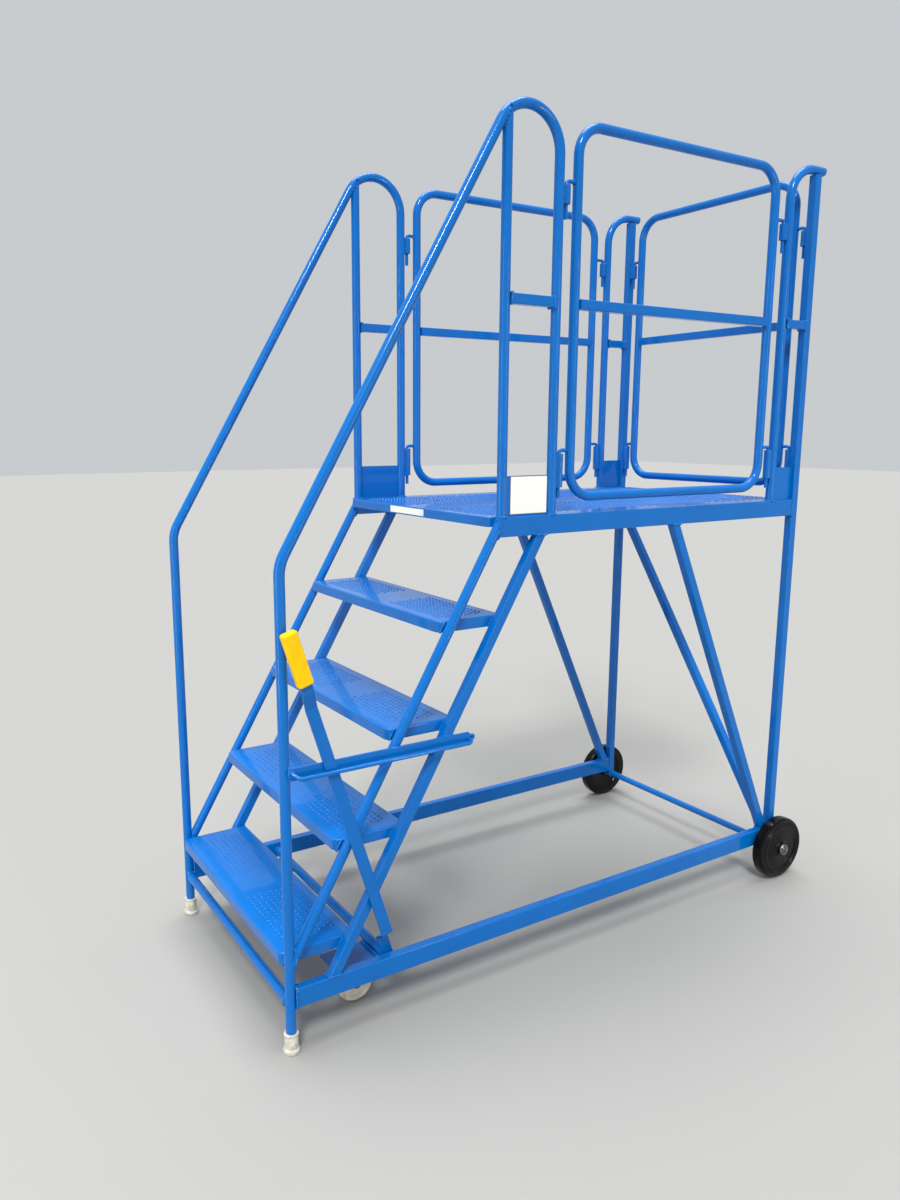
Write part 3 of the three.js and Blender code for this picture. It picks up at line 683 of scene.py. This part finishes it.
for side in SIDES:
    straight(f"platform_beam_{side}", rail_section, (0, 1, 0))
    straight(f"handrail_midrail_{side}", square_section, (0, 1, 0))
    straight(f"rear_midrail_{side}", square_section, (0, 1, 0))
    for plate in (f"front_kick_plate_{side}", f"rear_kick_plate_{side}"):
        mesh = bmesh.new()
        corner_a, corner_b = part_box(plate)
        block(mesh, corner_a - Vector((0, 0.002, 0.001)), corner_b + Vector((0, 0.002, 0)), 0.0006)
        made(f"{plate}_sheet", mesh, [plate])
for number in (1, 2):
    straight(f"deck_bearer_{number}", square_section, (1, 0, 0))
print("kick plates", 4, "midrails", 4)

# %% [markdown]
# ## Labels
# The maker's two stickers are kept as plain blank vinyl: a large one with a thin dark
# edge on the kick plate beside the stairs, and a small one on the deck's front lip.

# %% Blank labels
LABEL_T = 0.0004
LABEL_EDGE = 0.0001
DARK_LINE = 0.0015
plate_low, plate_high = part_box("front_kick_plate_right")
label_low = Vector((plate_high.x, plate_low.y + 0.012, plate_low.z + 0.004))
label_high = Vector((plate_high.x, plate_high.y - 0.002, plate_high.z))
inset = Vector((0, DARK_LINE, DARK_LINE))
face = Vector((2 * LABEL_T, 0, 0))

lip = Vector((0, low("platform_deck").y, DECK_Z))
lip_low = lip + Vector((-0.120, -LABEL_T, -0.0215))
lip_high = lip + Vector((0.060, LABEL_T, -0.0035))
for name, surface, corner_a, corner_b in (
        ("kick_plate_label_edge", "label_edge", label_low, label_high + face / 2),
        ("kick_plate_label", "white_vinyl", label_low + inset, label_high - inset + face),
        ("deck_lip_label", "white_vinyl", lip_low, lip_high)):
    mesh = bmesh.new()
    block(mesh, corner_a, corner_b, LABEL_EDGE)
    made(name, mesh, surface=surface)

# %% [markdown]
# ## Welds
# Every joint of the frame has a bead, a little rope of overlapping drops. A torus would
# be too even, so each bead is laid drop by drop along the joint, and the drops' sizes
# vary a little. The chance is seeded, so every run lays the same welds.

# %% Laying a bead
WELD_R = 0.0033
DROP_STEP = 0.0044
chance = random.Random(11)


def ring_points(centre, u, v, reach_u, reach_v):
    u, v = Vector(u).normalized() * reach_u, Vector(v).normalized() * reach_v
    count = max(8, math.ceil(math.pi * (reach_u + reach_v) / DROP_STEP))
    turns = [2 * math.pi * index / count for index in range(count)]
    return [Vector(centre) + u * math.cos(turn) + v * math.sin(turn) for turn in turns]


def line_points(start, end):
    start, end = Vector(start), Vector(end)
    count = max(1, math.ceil((end - start).length / DROP_STEP))
    return [start.lerp(end, index / count) for index in range(count + 1)]


def outline_points(centre, u, v, reach_u, reach_v):
    centre = Vector(centre)
    u, v = Vector(u).normalized() * reach_u, Vector(v).normalized() * reach_v
    corners = [centre + u + v, centre - u + v, centre - u - v, centre + u - v]
    points = []
    for start, end in zip(corners, corners[1:] + corners[:1]):
        points += line_points(start, end)[:-1]
    return points


def lay_weld(mesh, points, radius=WELD_R):
    bead = bmesh.new()
    for point in points:
        size = radius * chance.uniform(0.85, 1.2)
        place = Matrix.Translation(point)
        bmesh.ops.create_icosphere(bead, subdivisions=2, radius=size, matrix=place)
    poured(mesh, bead)


# %% [markdown]
# ## Lift-off guards
# A guard is a closed loop of tube with a square midrail. Four pins bend over from its
# uprights and drop into the sleeves, so each guard lifts straight out. Loop, midrail
# and pins ride together on the guard's own body.

# %% Guards
GUARD_CORNER = 0.072
PIN_R = 0.005
PIN_WELD_R = 0.0056
PIN_DROP_R = 0.0017
HOOK_R = 0.0085
pin_section = round_section(PIN_R, 16)


def guard(name, place, ends, heights, sleeve_ends, across):
    start, end = ends
    bottom, top = heights
    centre = (start + end) / 2
    mesh = bmesh.new()
    swept(mesh, tube_section, [
        place(centre, bottom), place(start, bottom), place(start, top),
        place(end, top), place(end, bottom), place(centre, bottom),
    ], GUARD_CORNER, across, closed=True)
    for upright, sleeve in zip(ends, sleeve_ends):
        for _, top_z, pin_end in SLEEVE_HEIGHTS:
            hook = top_z + HOOK_R + 0.0005
            part = bmesh.new()
            bent_pin = [place(upright, hook), place(sleeve, hook), place(sleeve, pin_end)]
            swept(part, pin_section, bent_pin, HOOK_R, across)
            soften(part, 0.001)
            poured(mesh, part)
            wall = upright + math.copysign(TUBE_R, sleeve - upright)
            ring = ring_points(place(wall, hook), across, (0, 0, 1), PIN_WELD_R, PIN_WELD_R)
            lay_weld(mesh, ring, PIN_DROP_R)
    made(f"{name}_loop", mesh, [name], body=BODY_OF[name])


BODY_OF = {f"guard_{end}": f"lift_off_guard_{end}" for end in ("left", "right", "rear")}

# %% The three guards
side_low = low("guard_midrail_right").y - GAP - TUBE_R
side_high = high("guard_midrail_right").y + GAP + TUBE_R
LOOP_BOTTOM = 1.292
LOOP_TOP = 2.194
for side, x in PLANES.items():
    guard(f"guard_{side}", lambda along, z, x=x: Vector((x, along, z)), (side_low, side_high),
          (LOOP_BOTTOM, LOOP_TOP), (ARCH_SLEEVE_Y, HOOP_SLEEVE_Y), (1, 0, 0))
    straight(f"guard_midrail_{side}", square_section, (0, 1, 0), body=BODY_OF[f"guard_{side}"])
rear_reach = high("guard_midrail_rear").x + GAP + TUBE_R
guard("guard_rear", lambda along, z: Vector((along, POST_Y, z)), (-rear_reach, rear_reach),
      (LOOP_BOTTOM + 0.006, LOOP_TOP + 0.004), (-POST_SLEEVE_X, POST_SLEEVE_X), (0, 1, 0))
straight("guard_midrail_rear", square_section, (1, 0, 0), body=BODY_OF["guard_rear"])
print("guards 3, pins 12")

# %% [markdown]
# ## Where the beads run
# A round tube leaves a ring where it meets a flat face, a square one leaves its outline,
# and both stretch where the tube arrives at a slant. Under the sloping handrail the
# ring bends down into a saddle. Sleeves, treads and kick plates get short runs only.

# %% Welds of the frame
X, Y, Z = Vector((1, 0, 0)), Vector((0, 1, 0)), Vector((0, 0, 1))
STEEP = math.sqrt(1 + SLOPE ** 2)
AXLE_R = 0.011
AXLE_Z = middle("rear_axle").z


def saddle_points(x, y, z, count=24):
    """Where an upright tube meets the underside of the sloping handrail."""
    turns = [2 * math.pi * index / count for index in range(count)]
    drop = TUBE_R * STEEP
    return [Vector((x, y, z)) + TUBE_R * (X * math.cos(turn) + (Y + Z * SLOPE) * math.sin(turn))
            - Z * drop * abs(math.sin(turn)) for turn in turns]


def weld_side(mesh, x, sign):
    inner = x - sign * TUBE_R
    stringer_z = FRONT_STRINGER[1] + (BEAM_FRONT - FRONT_STRINGER[0]) * SLOPE
    lay_weld(mesh, ring_points((inner, FRONT_Y, CROSS_Z), Y, Z, TUBE_R, TUBE_R))
    for y, z in ((FRONT_Y + TUBE_R, LEG_MEETS_Z + TUBE_R * SLOPE), (BEAM_FRONT, stringer_z)):
        lay_weld(mesh, ring_points((x, y, z), X, Z, TUBE_R, TUBE_R * STEEP))
    for y in (FRONT_POST_Y, ARCH_Y, HOOP_Y):
        lay_weld(mesh, ring_points((x, y, DECK_Z), X, Y, TUBE_R, TUBE_R))
    slope_z = SLOPE_POINT_Z + (FRONT_POST_Y - SLOPE_POINT_Y) * SLOPE
    lay_weld(mesh, saddle_points(x, FRONT_POST_Y, slope_z))
    for end_x in (x - BOX / 2, x + BOX / 2):
        lay_weld(mesh, ring_points((end_x, POST_Y, AXLE_Z), Y, Z, AXLE_R, AXLE_R))


def weld_boxes(mesh, x):
    half = BOX / 2
    for y, z, tall in ((FRONT_Y + TUBE_R, RAIL_Z, RAIL_H), (post_face, RAIL_Z, RAIL_H),
                       (post_face, DECK_Z - RAIL_H / 2, RAIL_H)):
        lay_weld(mesh, outline_points((x, y, z), X, Z, RAIL_W / 2, tall / 2))
    for y in (FRONT_POST_Y + TUBE_R, ARCH_Y - TUBE_R, HOOP_Y + TUBE_R, post_face):
        lay_weld(mesh, outline_points((x, y, MIDRAIL_Z), X, Z, half, half))
    for z in (RAIL_TOP, BEAM_UNDER):
        at = (x, stringer_at(REAR_STRINGER, z), z)
        lay_weld(mesh, outline_points(at, X, Y, half, half * STEEP / SLOPE))
    (top_y, top_z), (foot_y, foot_z) = SIDE_BRACE
    stretch = math.hypot(foot_y - top_y, top_z - foot_z) / (top_z - foot_z)
    for y, z in SIDE_BRACE:
        lay_weld(mesh, outline_points((x, y, z), X, Y, half, half * stretch))


mesh = bmesh.new()
for sign in SIDES.values():
    weld_side(mesh, sign * SIDE_X, sign)
    weld_boxes(mesh, sign * SIDE_X)
brace_stretch = math.hypot(2 * INNER_X, REAR_BRACE[0] - REAR_BRACE[1]) / (2 * INNER_X)
for x, z in ((-INNER_X, REAR_BRACE[0]), (INNER_X, REAR_BRACE[1])):
    lay_weld(mesh, outline_points((x, POST_Y, z), Y, Z, BOX / 2, BOX / 2 * brace_stretch))
print("frame weld faces", len(mesh.faces))
made("frame_welds", mesh)

# %% Short runs: sleeves, treads, kick plates and sheet edges
SEAMS = (-0.0062, 0.0062)
SEAM_Y = TUBE_R - 0.0016
RUN_INSET = 0.002


def short_runs(mesh, x, sign):
    inner = x - sign * BOX / 2
    for bottom, top, _ in SLEEVE_HEIGHTS:
        places = [(x + offset, y) for y in (ARCH_Y + SEAM_Y, HOOP_Y - SEAM_Y) for offset in SEAMS]
        for seam_x, seam_y in places + [(inner, POST_Y + offset) for offset in SEAMS]:
            start, end = (seam_x, seam_y, bottom + RUN_INSET), (seam_x, seam_y, top - RUN_INSET)
            lay_weld(mesh, line_points(start, end))
    half = BOX / 2 * STEEP / SLOPE
    for number in range(1, 5):
        front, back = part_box(f"tread_{number}")
        wall = sign * back.x
        z0, z1 = back.z - 0.026, back.z - 0.004
        for line in (FRONT_STRINGER, REAR_STRINGER):
            for offset in (-half, half):
                y0, y1 = (stringer_at(line, z) + offset for z in (z0, z1))
                if front.y < y0 and y1 < back.y:
                    lay_weld(mesh, line_points((wall, y0, z0), (wall, y1, z1)))


mesh = bmesh.new()
for sign in SIDES.values():
    short_runs(mesh, sign * SIDE_X, sign)
for side in SIDES:
    for plate in (f"front_kick_plate_{side}", f"rear_kick_plate_{side}"):
        corner_a, corner_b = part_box(plate)
        for y in (corner_a.y, corner_b.y):
            for z in (corner_a.z + 0.012, corner_b.z - 0.024):
                for x in (corner_a.x, corner_b.x):
                    lay_weld(mesh, line_points((x, y, z), (x, y, z + 0.014)), 0.0015)
print("short weld faces", len(mesh.faces))
made("short_welds", mesh)

# %% [markdown]
# ## Rear wheels
# The stand rolls on two plain wheels. The tyre and the hub are each one profile spun
# round the axle. Their side walls have fine rings, which come from the mould, so the
# rings are real steps in the profile and not a bump.

# %% Tyres, hubs and caps
WHEEL_R = AXLE_Z
TYRE_IN = 0.395
TYRE_OUT = 0.431
HUB_R = 0.070


def ringed(start, end, count, depth):
    """A side wall from one (radius, along) to another, with shallow rings."""
    points = []
    for index in range(count):
        for part, sink in ((0.0, 0.0), (0.35, 0.0), (0.5, depth), (0.85, depth)):
            share = (index + part) / count
            points.append((start[0] + (end[0] - start[0]) * share,
                           start[1] + (end[1] - start[1]) * share - sink))
    return points


def tyre_profile():
    outer_wall = ringed((WHEEL_R - 0.011, TYRE_OUT), (HUB_R + 0.002, TYRE_OUT), 4, 0.0009)
    tread = [
        (WHEEL_R - 0.008, TYRE_IN), (WHEEL_R - 0.0035, TYRE_IN + 0.0012),
        (WHEEL_R - 0.001, TYRE_IN + 0.004), (WHEEL_R, TYRE_IN + 0.010),
        (WHEEL_R, TYRE_OUT - 0.010), (WHEEL_R - 0.001, TYRE_OUT - 0.004),
        (WHEEL_R - 0.0035, TYRE_OUT - 0.0012),
    ]
    shoulder = [(WHEEL_R - 0.006, TYRE_OUT + 0.0012), (WHEEL_R - 0.0095, TYRE_OUT + 0.0012)]
    return [(HUB_R, TYRE_IN)] + tread + shoulder + outer_wall + [(HUB_R, TYRE_OUT)]


def hub_profile():
    bore = AXLE_R + 0.0006
    web = ringed((HUB_R - 0.004, TYRE_OUT - 0.0015), (0.027, TYRE_OUT + 0.003), 5, 0.0011)
    inside = [
        (bore, TYRE_IN - 0.006), (0.019, TYRE_IN - 0.006), (0.020, TYRE_IN - 0.005),
        (0.022, TYRE_IN + 0.009), (HUB_R - 0.004, TYRE_IN + 0.004),
        (HUB_R - 0.0015, TYRE_IN + 0.001), (HUB_R - 0.0002, TYRE_IN + 0.001),
        (HUB_R - 0.0002, TYRE_OUT - 0.001), (HUB_R - 0.0015, TYRE_OUT - 0.001),
    ]
    boss = [(0.0245, TYRE_OUT + 0.004), (0.0235, TYRE_OUT + 0.005), (bore, TYRE_OUT + 0.005)]
    return inside + web + boss


def cap_profile(face, radius, rise):
    turns = [math.pi / 2 * index / 6 for index in range(7)]
    skirt = 0.005
    dome = [(radius * math.cos(turn), face + skirt + (rise - skirt) * math.sin(turn))
            for turn in turns[:-1]]
    return [(0, face), (radius - 0.001, face), (radius, face + 0.001)] + dome + [(0, face + rise)]


def hexagon(mesh, centre, axis, radius, depth):
    part = bmesh.new()
    turn = Vector(axis).to_track_quat("Z", "Y").to_matrix().to_4x4()
    bmesh.ops.create_cone(part, cap_ends=True, segments=6, radius1=radius, radius2=radius,
                          depth=depth, matrix=Matrix.Translation(centre) @ turn)
    soften(part, 0.0006)
    poured(mesh, part)


CAP_FACE = 0.4365
CAP_R = 0.020
CAP_RISE = 0.0145
for side, sign in SIDES.items():
    hub = Vector((0, POST_Y, AXLE_Z))
    out = (sign, 0, 0)
    body = f"rear_wheel_{side}"
    mesh = bmesh.new()
    turned(mesh, tyre_profile(), hub, out, 96, closed=True)
    made(f"rear_tyre_solid_{side}", mesh, [f"rear_tyre_{side}"], "black_rubber", body, 25)
    mesh = bmesh.new()
    turned(mesh, hub_profile(), hub, out, 72, closed=True)
    made(f"rear_hub_moulding_{side}", mesh, [f"rear_wheel_hub_{side}"], "black_plastic", body, 25)
    mesh = bmesh.new()
    turned(mesh, cap_profile(CAP_FACE, CAP_R, CAP_RISE), hub, out, 48)
    hexagon(mesh, hub + Vector(out) * (CAP_FACE + CAP_RISE + 0.0005), out, 0.0062, 0.003)
    made(f"hub_cap_dome_{side}", mesh, [f"hub_cap_{side}"], "bright_zinc", sharp=30)

mesh = bmesh.new()
cross_bar(mesh, round_section(AXLE_R, 32), high("rear_axle").x, POST_Y, AXLE_Z)
soften(mesh, 0.001)
made("rear_axle_bar", mesh, ["rear_axle"])
print("rear wheels", round(2 * WHEEL_R, 3), "m across")

# %% [markdown]
# ## Ferrules
# The front legs stand in moulded ferrules with gripping ribs and a wider foot.

# %% Ferrules
FOOT_H = high("foot_right").z
FLANGE_R = 0.0209
RIB_R = 0.0168
GROOVE_R = 0.0156


def ferrule_profile():
    ribs = []
    count = 6
    pitch = (FOOT_H - 0.018) / count
    for index in range(count):
        z = 0.013 + index * pitch
        ribs += [(GROOVE_R, z), (GROOVE_R, z + 0.3 * pitch),
                 (RIB_R, z + 0.45 * pitch), (RIB_R, z + 0.85 * pitch)]
    foot = [(0, 0), (FLANGE_R - 0.001, 0), (FLANGE_R, 0.001), (FLANGE_R, 0.0075),
            (FLANGE_R - 0.0012, 0.009), (0.0164, 0.0115)]
    rim = [(0.0158, FOOT_H - 0.005), (0.0178, FOOT_H - 0.004), (0.0180, FOOT_H - 0.001),
           (0.0172, FOOT_H), (TUBE_R, FOOT_H), (TUBE_R, 0.008), (0, 0.008)]
    return foot + ribs + rim


for side, x in PLANES.items():
    mesh = bmesh.new()
    turned(mesh, ferrule_profile(), (x, FRONT_Y, 0), (0, 0, 1), 48)
    made(f"ferrule_{side}", mesh, [f"foot_{side}"], "grey_ferrule", sharp=30)
print("ferrules", 2)

# %% [markdown]
# ## Castor bar and hand lever
# A tube turns in the base rails. Two plates on it carry the castors, and the lever is a
# flat bar welded to it, which joggles out over the rail, runs up beside the leg and is
# cranked out once more below the moulded grip. A guide bar and a bent rod make the slot
# that the lever runs in.

# %% Castor bar
PIVOT_Y = FRONT_Y + 0.284
PIVOT_Z = RAIL_Z
CASTOR_X = (low("castor_fork_right").x + high("castor_fork_right").x) / 2
CASTOR_Y = FRONT_Y + 0.190
PLATE_Z = 0.122
PLATE_T = 0.006
PLATE_HALF = 0.044
LEVER_T = 0.006
mesh = bmesh.new()
cross_bar(mesh, tube_section, SIDE_X - RAIL_W / 2 - 0.002, PIVOT_Y, PIVOT_Z)
for sign in (-1, 1):
    x = sign * CASTOR_X
    block(mesh, (x - PLATE_HALF, CASTOR_Y - PLATE_HALF, PLATE_Z),
          (x + PLATE_HALF, PIVOT_Y + 0.008, PLATE_Z + PLATE_T), 0.0012)
    y, z = PIVOT_Y - 0.0125, PLATE_Z + PLATE_T + 0.0004
    lay_weld(mesh, line_points((x - PLATE_HALF, y, z), (x + PLATE_HALF, y, z)))
LEVER_FOOT_X = 0.352
lever_foot = (LEVER_FOOT_X, PIVOT_Y - 0.004, PIVOT_Z + 0.0118)
lay_weld(mesh, outline_points(lever_foot, X, Y, LEVER_T / 2, 0.014))
made("castor_bar_tube", mesh, ["castor_bar"], body="castor_lever")

# %% Hand lever and grip
LEVER_TILT = math.radians(17.6)
LEVER_W = 0.030
LEVER_BEND_R = 0.009
LEVER_X = 0.399
GRIP_X = 0.414
GRIP_END = 0.938
JOGGLE = [(LEVER_FOOT_X, 0.0125), (LEVER_FOOT_X, 0.076), (LEVER_X, 0.106), (LEVER_X, 0.746),
          (GRIP_X, 0.790), (GRIP_X, 0.925)]


def on_lever(x, along):
    slant = Vector((0, -math.sin(LEVER_TILT), math.cos(LEVER_TILT)))
    return Vector((x, PIVOT_Y, PIVOT_Z)) + slant * along


mesh = bmesh.new()
bends = [on_lever(x, along) for x, along in JOGGLE]
swept(mesh, box_section(LEVER_T, LEVER_W, 0.0012, 2), bends, LEVER_BEND_R)
made("hand_lever_bar", mesh, ["hand_lever"], body="castor_lever")

mesh = bmesh.new()
ends = [on_lever(GRIP_X, 0.808), on_lever(GRIP_X, GRIP_END)]
swept(mesh, box_section(0.026, 0.038, 0.008, 6), ends)
soften(mesh, 0.0055, 5, 1.2)
made("lever_grip_moulding", mesh, ["lever_grip"], "yellow_grip", "castor_lever", 50)

# %% Lever guide
GUIDE_X = 0.388
GUIDE_T = 0.006
GUIDE_Z = low("lever_guide").z
GUIDE_H = 0.030
GUIDE_FRONT = low("lever_guide").y
GUIDE_BACK = high("lever_guide").y
ROD_X = 0.410
ROD_Z = 0.692
ROD_R = 0.005
mesh = bmesh.new()
guide_x = GUIDE_X + GUIDE_T / 2
guide_mid_z = GUIDE_Z + GUIDE_H / 2
ends = [(guide_x, GUIDE_FRONT, guide_mid_z), (guide_x, GUIDE_BACK, guide_mid_z)]
swept(mesh, box_section(GUIDE_T, GUIDE_H, 0.001, 2), ends)
cut_off(mesh, (0, GUIDE_BACK, GUIDE_Z + 0.012), (0, 1, 0.8))
rod = bmesh.new()
swept(rod, round_section(ROD_R, 16), [
    (guide_x, GUIDE_FRONT + 0.003, ROD_Z + 0.012), (ROD_X, GUIDE_FRONT + 0.020, ROD_Z),
    (ROD_X, GUIDE_BACK - 0.020, ROD_Z), (guide_x, GUIDE_BACK - 0.003, ROD_Z + 0.006),
], 0.012)
poured(mesh, rod)
for y in (GUIDE_FRONT + 0.004, GUIDE_BACK - 0.006):
    lay_weld(mesh, ring_points((GUIDE_X + GUIDE_T, y, ROD_Z + 0.009), Y, Z, 0.007, 0.006))
seam = Vector((SIDE_X + TUBE_R, GUIDE_FRONT + 0.001, GUIDE_Z))
lay_weld(mesh, line_points(seam, seam + Z * GUIDE_H))
for z in (GUIDE_Z, GUIDE_Z + GUIDE_H):
    seam = Vector((SIDE_X + TUBE_R, stringer_at(REAR_STRINGER, z), z))
    lay_weld(mesh, line_points(seam - Y * 0.013, seam + Y * 0.013))
made("lever_guide_bars", mesh, ["lever_guide"])
print("lever reaches", round(on_lever(GRIP_X, GRIP_END).z, 3), "m high")

# %% [markdown]
# ## Castors
# A pressed fork hangs from a swivel race under each plate. Its legs trail, so the
# castor follows the push. The white nylon wheel runs on a bolt with a nut.

# %% Castor forks
FORK_TRAIL = 0.032
CASTOR_R = 0.050
CASTOR_HUB_Z = 0.052
CROWN_Z = 0.110
LEG_X = 0.017
LEG_T = 0.003
RACE_R = 0.024
EYE_R = 0.013
EYE_STEPS = 12
LEG_FRONT = -0.025
LEG_BACK = 0.027


def fork_leg(mesh, x, y, offset):
    """One pressed leg: straight sides that run down to a round eye about the axle."""
    outline = [(LEG_FRONT, CROWN_Z), (LEG_FRONT, CROWN_Z - 0.010),
               (FORK_TRAIL - EYE_R, CASTOR_HUB_Z - 0.004)]
    for index in range(1, EYE_STEPS + 1):
        turn = math.pi * (1.1 + 0.87 * index / EYE_STEPS)
        outline.append((FORK_TRAIL + EYE_R * math.cos(turn), CASTOR_HUB_Z + EYE_R * math.sin(turn)))
    outline.append((LEG_BACK, CROWN_Z))
    part = bmesh.new()
    verts = [part.verts.new((x + offset - LEG_T / 2, y + along, z)) for along, z in outline]
    face = part.faces.new(verts)
    pulled = bmesh.ops.extrude_face_region(part, geom=[face])["geom"]
    bmesh.ops.translate(part, verts=only(VERT, pulled), vec=(LEG_T, 0, 0))
    soften(part, 0.0007)
    poured(mesh, part)


def castor_fork(mesh, x, y):
    gap = 0.0004
    waist = RACE_R - 0.0025
    race = [
        (0, CROWN_Z - 0.003), (RACE_R - 0.001, CROWN_Z - 0.003), (RACE_R, CROWN_Z - 0.002),
        (RACE_R, CROWN_Z + 0.002), (waist, CROWN_Z + 0.004), (waist, CROWN_Z + 0.006),
        (RACE_R, CROWN_Z + 0.008), (RACE_R, PLATE_Z - gap), (0, PLATE_Z - gap),
    ]
    part = bmesh.new()
    turned(part, race, (x, y, 0), (0, 0, 1), 40)
    poured(mesh, part)
    head_z = PLATE_Z + PLATE_T + gap
    hexagon(mesh, (x, y, head_z + 0.0025), (0, 0, 1), 0.0105, 0.005)
    half = LEG_X + LEG_T / 2
    block(mesh, (x - half, y + LEG_FRONT, CROWN_Z - 0.004), (x + half, y + LEG_BACK, CROWN_Z), 0.0012)
    for offset in (-LEG_X, LEG_X):
        fork_leg(mesh, x, y, offset)


for side, sign in SIDES.items():
    mesh = bmesh.new()
    castor_fork(mesh, sign * CASTOR_X, CASTOR_Y)
    made(f"castor_fork_pressing_{side}", mesh, [f"castor_fork_{side}"], "zinc_steel",
         f"castor_swivel_{side}", 30)

# %% Castor wheels and bolts
CASTOR_W = 0.028
BOLT_R = 0.0046
BOLT_REACH = 0.0235
LEG_FACE = LEG_X + LEG_T / 2
WASHER = [(0, 0), (0.0095, 0), (0.0095, 0.0012), (0, 0.0012)]


def castor_profile():
    half = CASTOR_W / 2
    right = [
        (0.0056, half), (0.014, half), (0.0155, half - 0.0035), (CASTOR_R - 0.012, half - 0.0045),
        (CASTOR_R - 0.009, half - 0.0015), (CASTOR_R - 0.005, half - 0.0003),
        (CASTOR_R - 0.0015, half - 0.003), (CASTOR_R, half - 0.0065),
    ]
    return right + [(radius, -along) for radius, along in reversed(right)]


for side, sign in SIDES.items():
    hub = Vector((sign * CASTOR_X, CASTOR_Y + FORK_TRAIL, CASTOR_HUB_Z))
    mesh = bmesh.new()
    turned(mesh, castor_profile(), hub, (1, 0, 0), 64, closed=True)
    made(f"castor_wheel_moulding_{side}", mesh, [f"castor_wheel_{side}"], "white_nylon",
         f"castor_roller_{side}", 30)
    mesh = bmesh.new()
    ends = [hub - X * BOLT_REACH, hub + X * BOLT_REACH]
    swept(mesh, round_section(BOLT_R, 20), ends, across=(0, 1, 0))
    for out in (-X, X):
        washer = bmesh.new()
        turned(washer, WASHER, hub + out * (LEG_FACE + 0.0002), out, 32)
        poured(mesh, washer)
        hexagon(mesh, hub + out * (LEG_FACE + 0.0038), out, 0.0078, 0.0048)
    made(f"castor_bolt_{side}", mesh, [f"castor_axle_{side}"], "bright_zinc",
         f"castor_swivel_{side}", 30)
print("castors", 2)

# %% [markdown]
# ## Studio
# A pale floor, a soft light high on the right and in front, a softer one from above, and
# a pale sky all round. Two tall strip lights stand outside the picture: they draw the
# long thin highlight that tells the eye a tube is round. The camera stands a little
# above the deck, in front and to the right.

# %% Floor and light
def lamp(name, kind, source, place=(0, 0, 0), **settings):
    data = bpy.data.lights.new(name, kind)
    for setting, value in settings.items():
        setattr(data, setting, value)
    light = in_scene(name, data)
    light.location = place
    light.rotation_euler = Vector(source).to_track_quat("Z", "Y").to_euler()
    light.visible_camera = False


STRIP = {"shape": "RECTANGLE", "size": 0.35, "size_y": 2.6}
lamp("key_light", "SUN", (0.55, -0.45, 0.8), angle=math.radians(14), energy=2.5,
     color=(1.0, 0.98, 0.95))
lamp("top_light", "SUN", (-0.15, 0.1, 1.0), angle=math.radians(45), energy=3.1)
lamp("strip_front", "AREA", (0.6, -3.9, 0), (0.6, -3.9, 1.3), energy=34, **STRIP)
lamp("strip_right", "AREA", (4.2, 1.6, 0), (4.2, 1.6, 1.3), energy=30, **STRIP)

mesh = bmesh.new()
bmesh.ops.create_grid(mesh, x_segments=1, y_segments=1, size=30)
ground = bpy.data.meshes.new("studio_floor")
mesh.to_mesh(ground)
mesh.free()
floor = in_scene("studio_floor", ground)
floor.location.z = -0.0005
paper = bpy.data.materials.new("studio_paper")
paper.use_nodes = True
paper_surface = paper.node_tree.nodes["Principled BSDF"]
paper_surface.inputs["Base Color"].default_value = (0.3, 0.3, 0.29, 1)
paper_surface.inputs["Roughness"].default_value = 0.9
ground.materials.append(paper)

sky = bpy.data.worlds.new("studio_sky")
sky.use_nodes = True
glow = sky.node_tree.nodes["Background"]
glow.inputs["Color"].default_value = (0.93, 0.97, 1.0, 1)
glow.inputs["Strength"].default_value = 0.62
bpy.context.scene.world = sky
bpy.context.scene.view_settings.view_transform = "Standard"

# %% Camera
camera = in_scene("camera", bpy.data.cameras.new("camera"))
camera.location = (2.1918, -1.6840, 1.4641)
camera.rotation_euler = (math.radians(79.6), 0, math.radians(58.3))
camera.data.lens = 27.36
camera.data.shift_x = 0.0295
camera.data.shift_y = -0.0025
bpy.context.scene.camera = camera

# %% [markdown]
# ## CAD nodes left showing
# Each piece hides the CAD nodes it stands for, and those that still show are printed.

# %% List the CAD nodes that still show
shown = [name for name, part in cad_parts.items() if not part.hide_render]
print("CAD nodes that still show", shown)
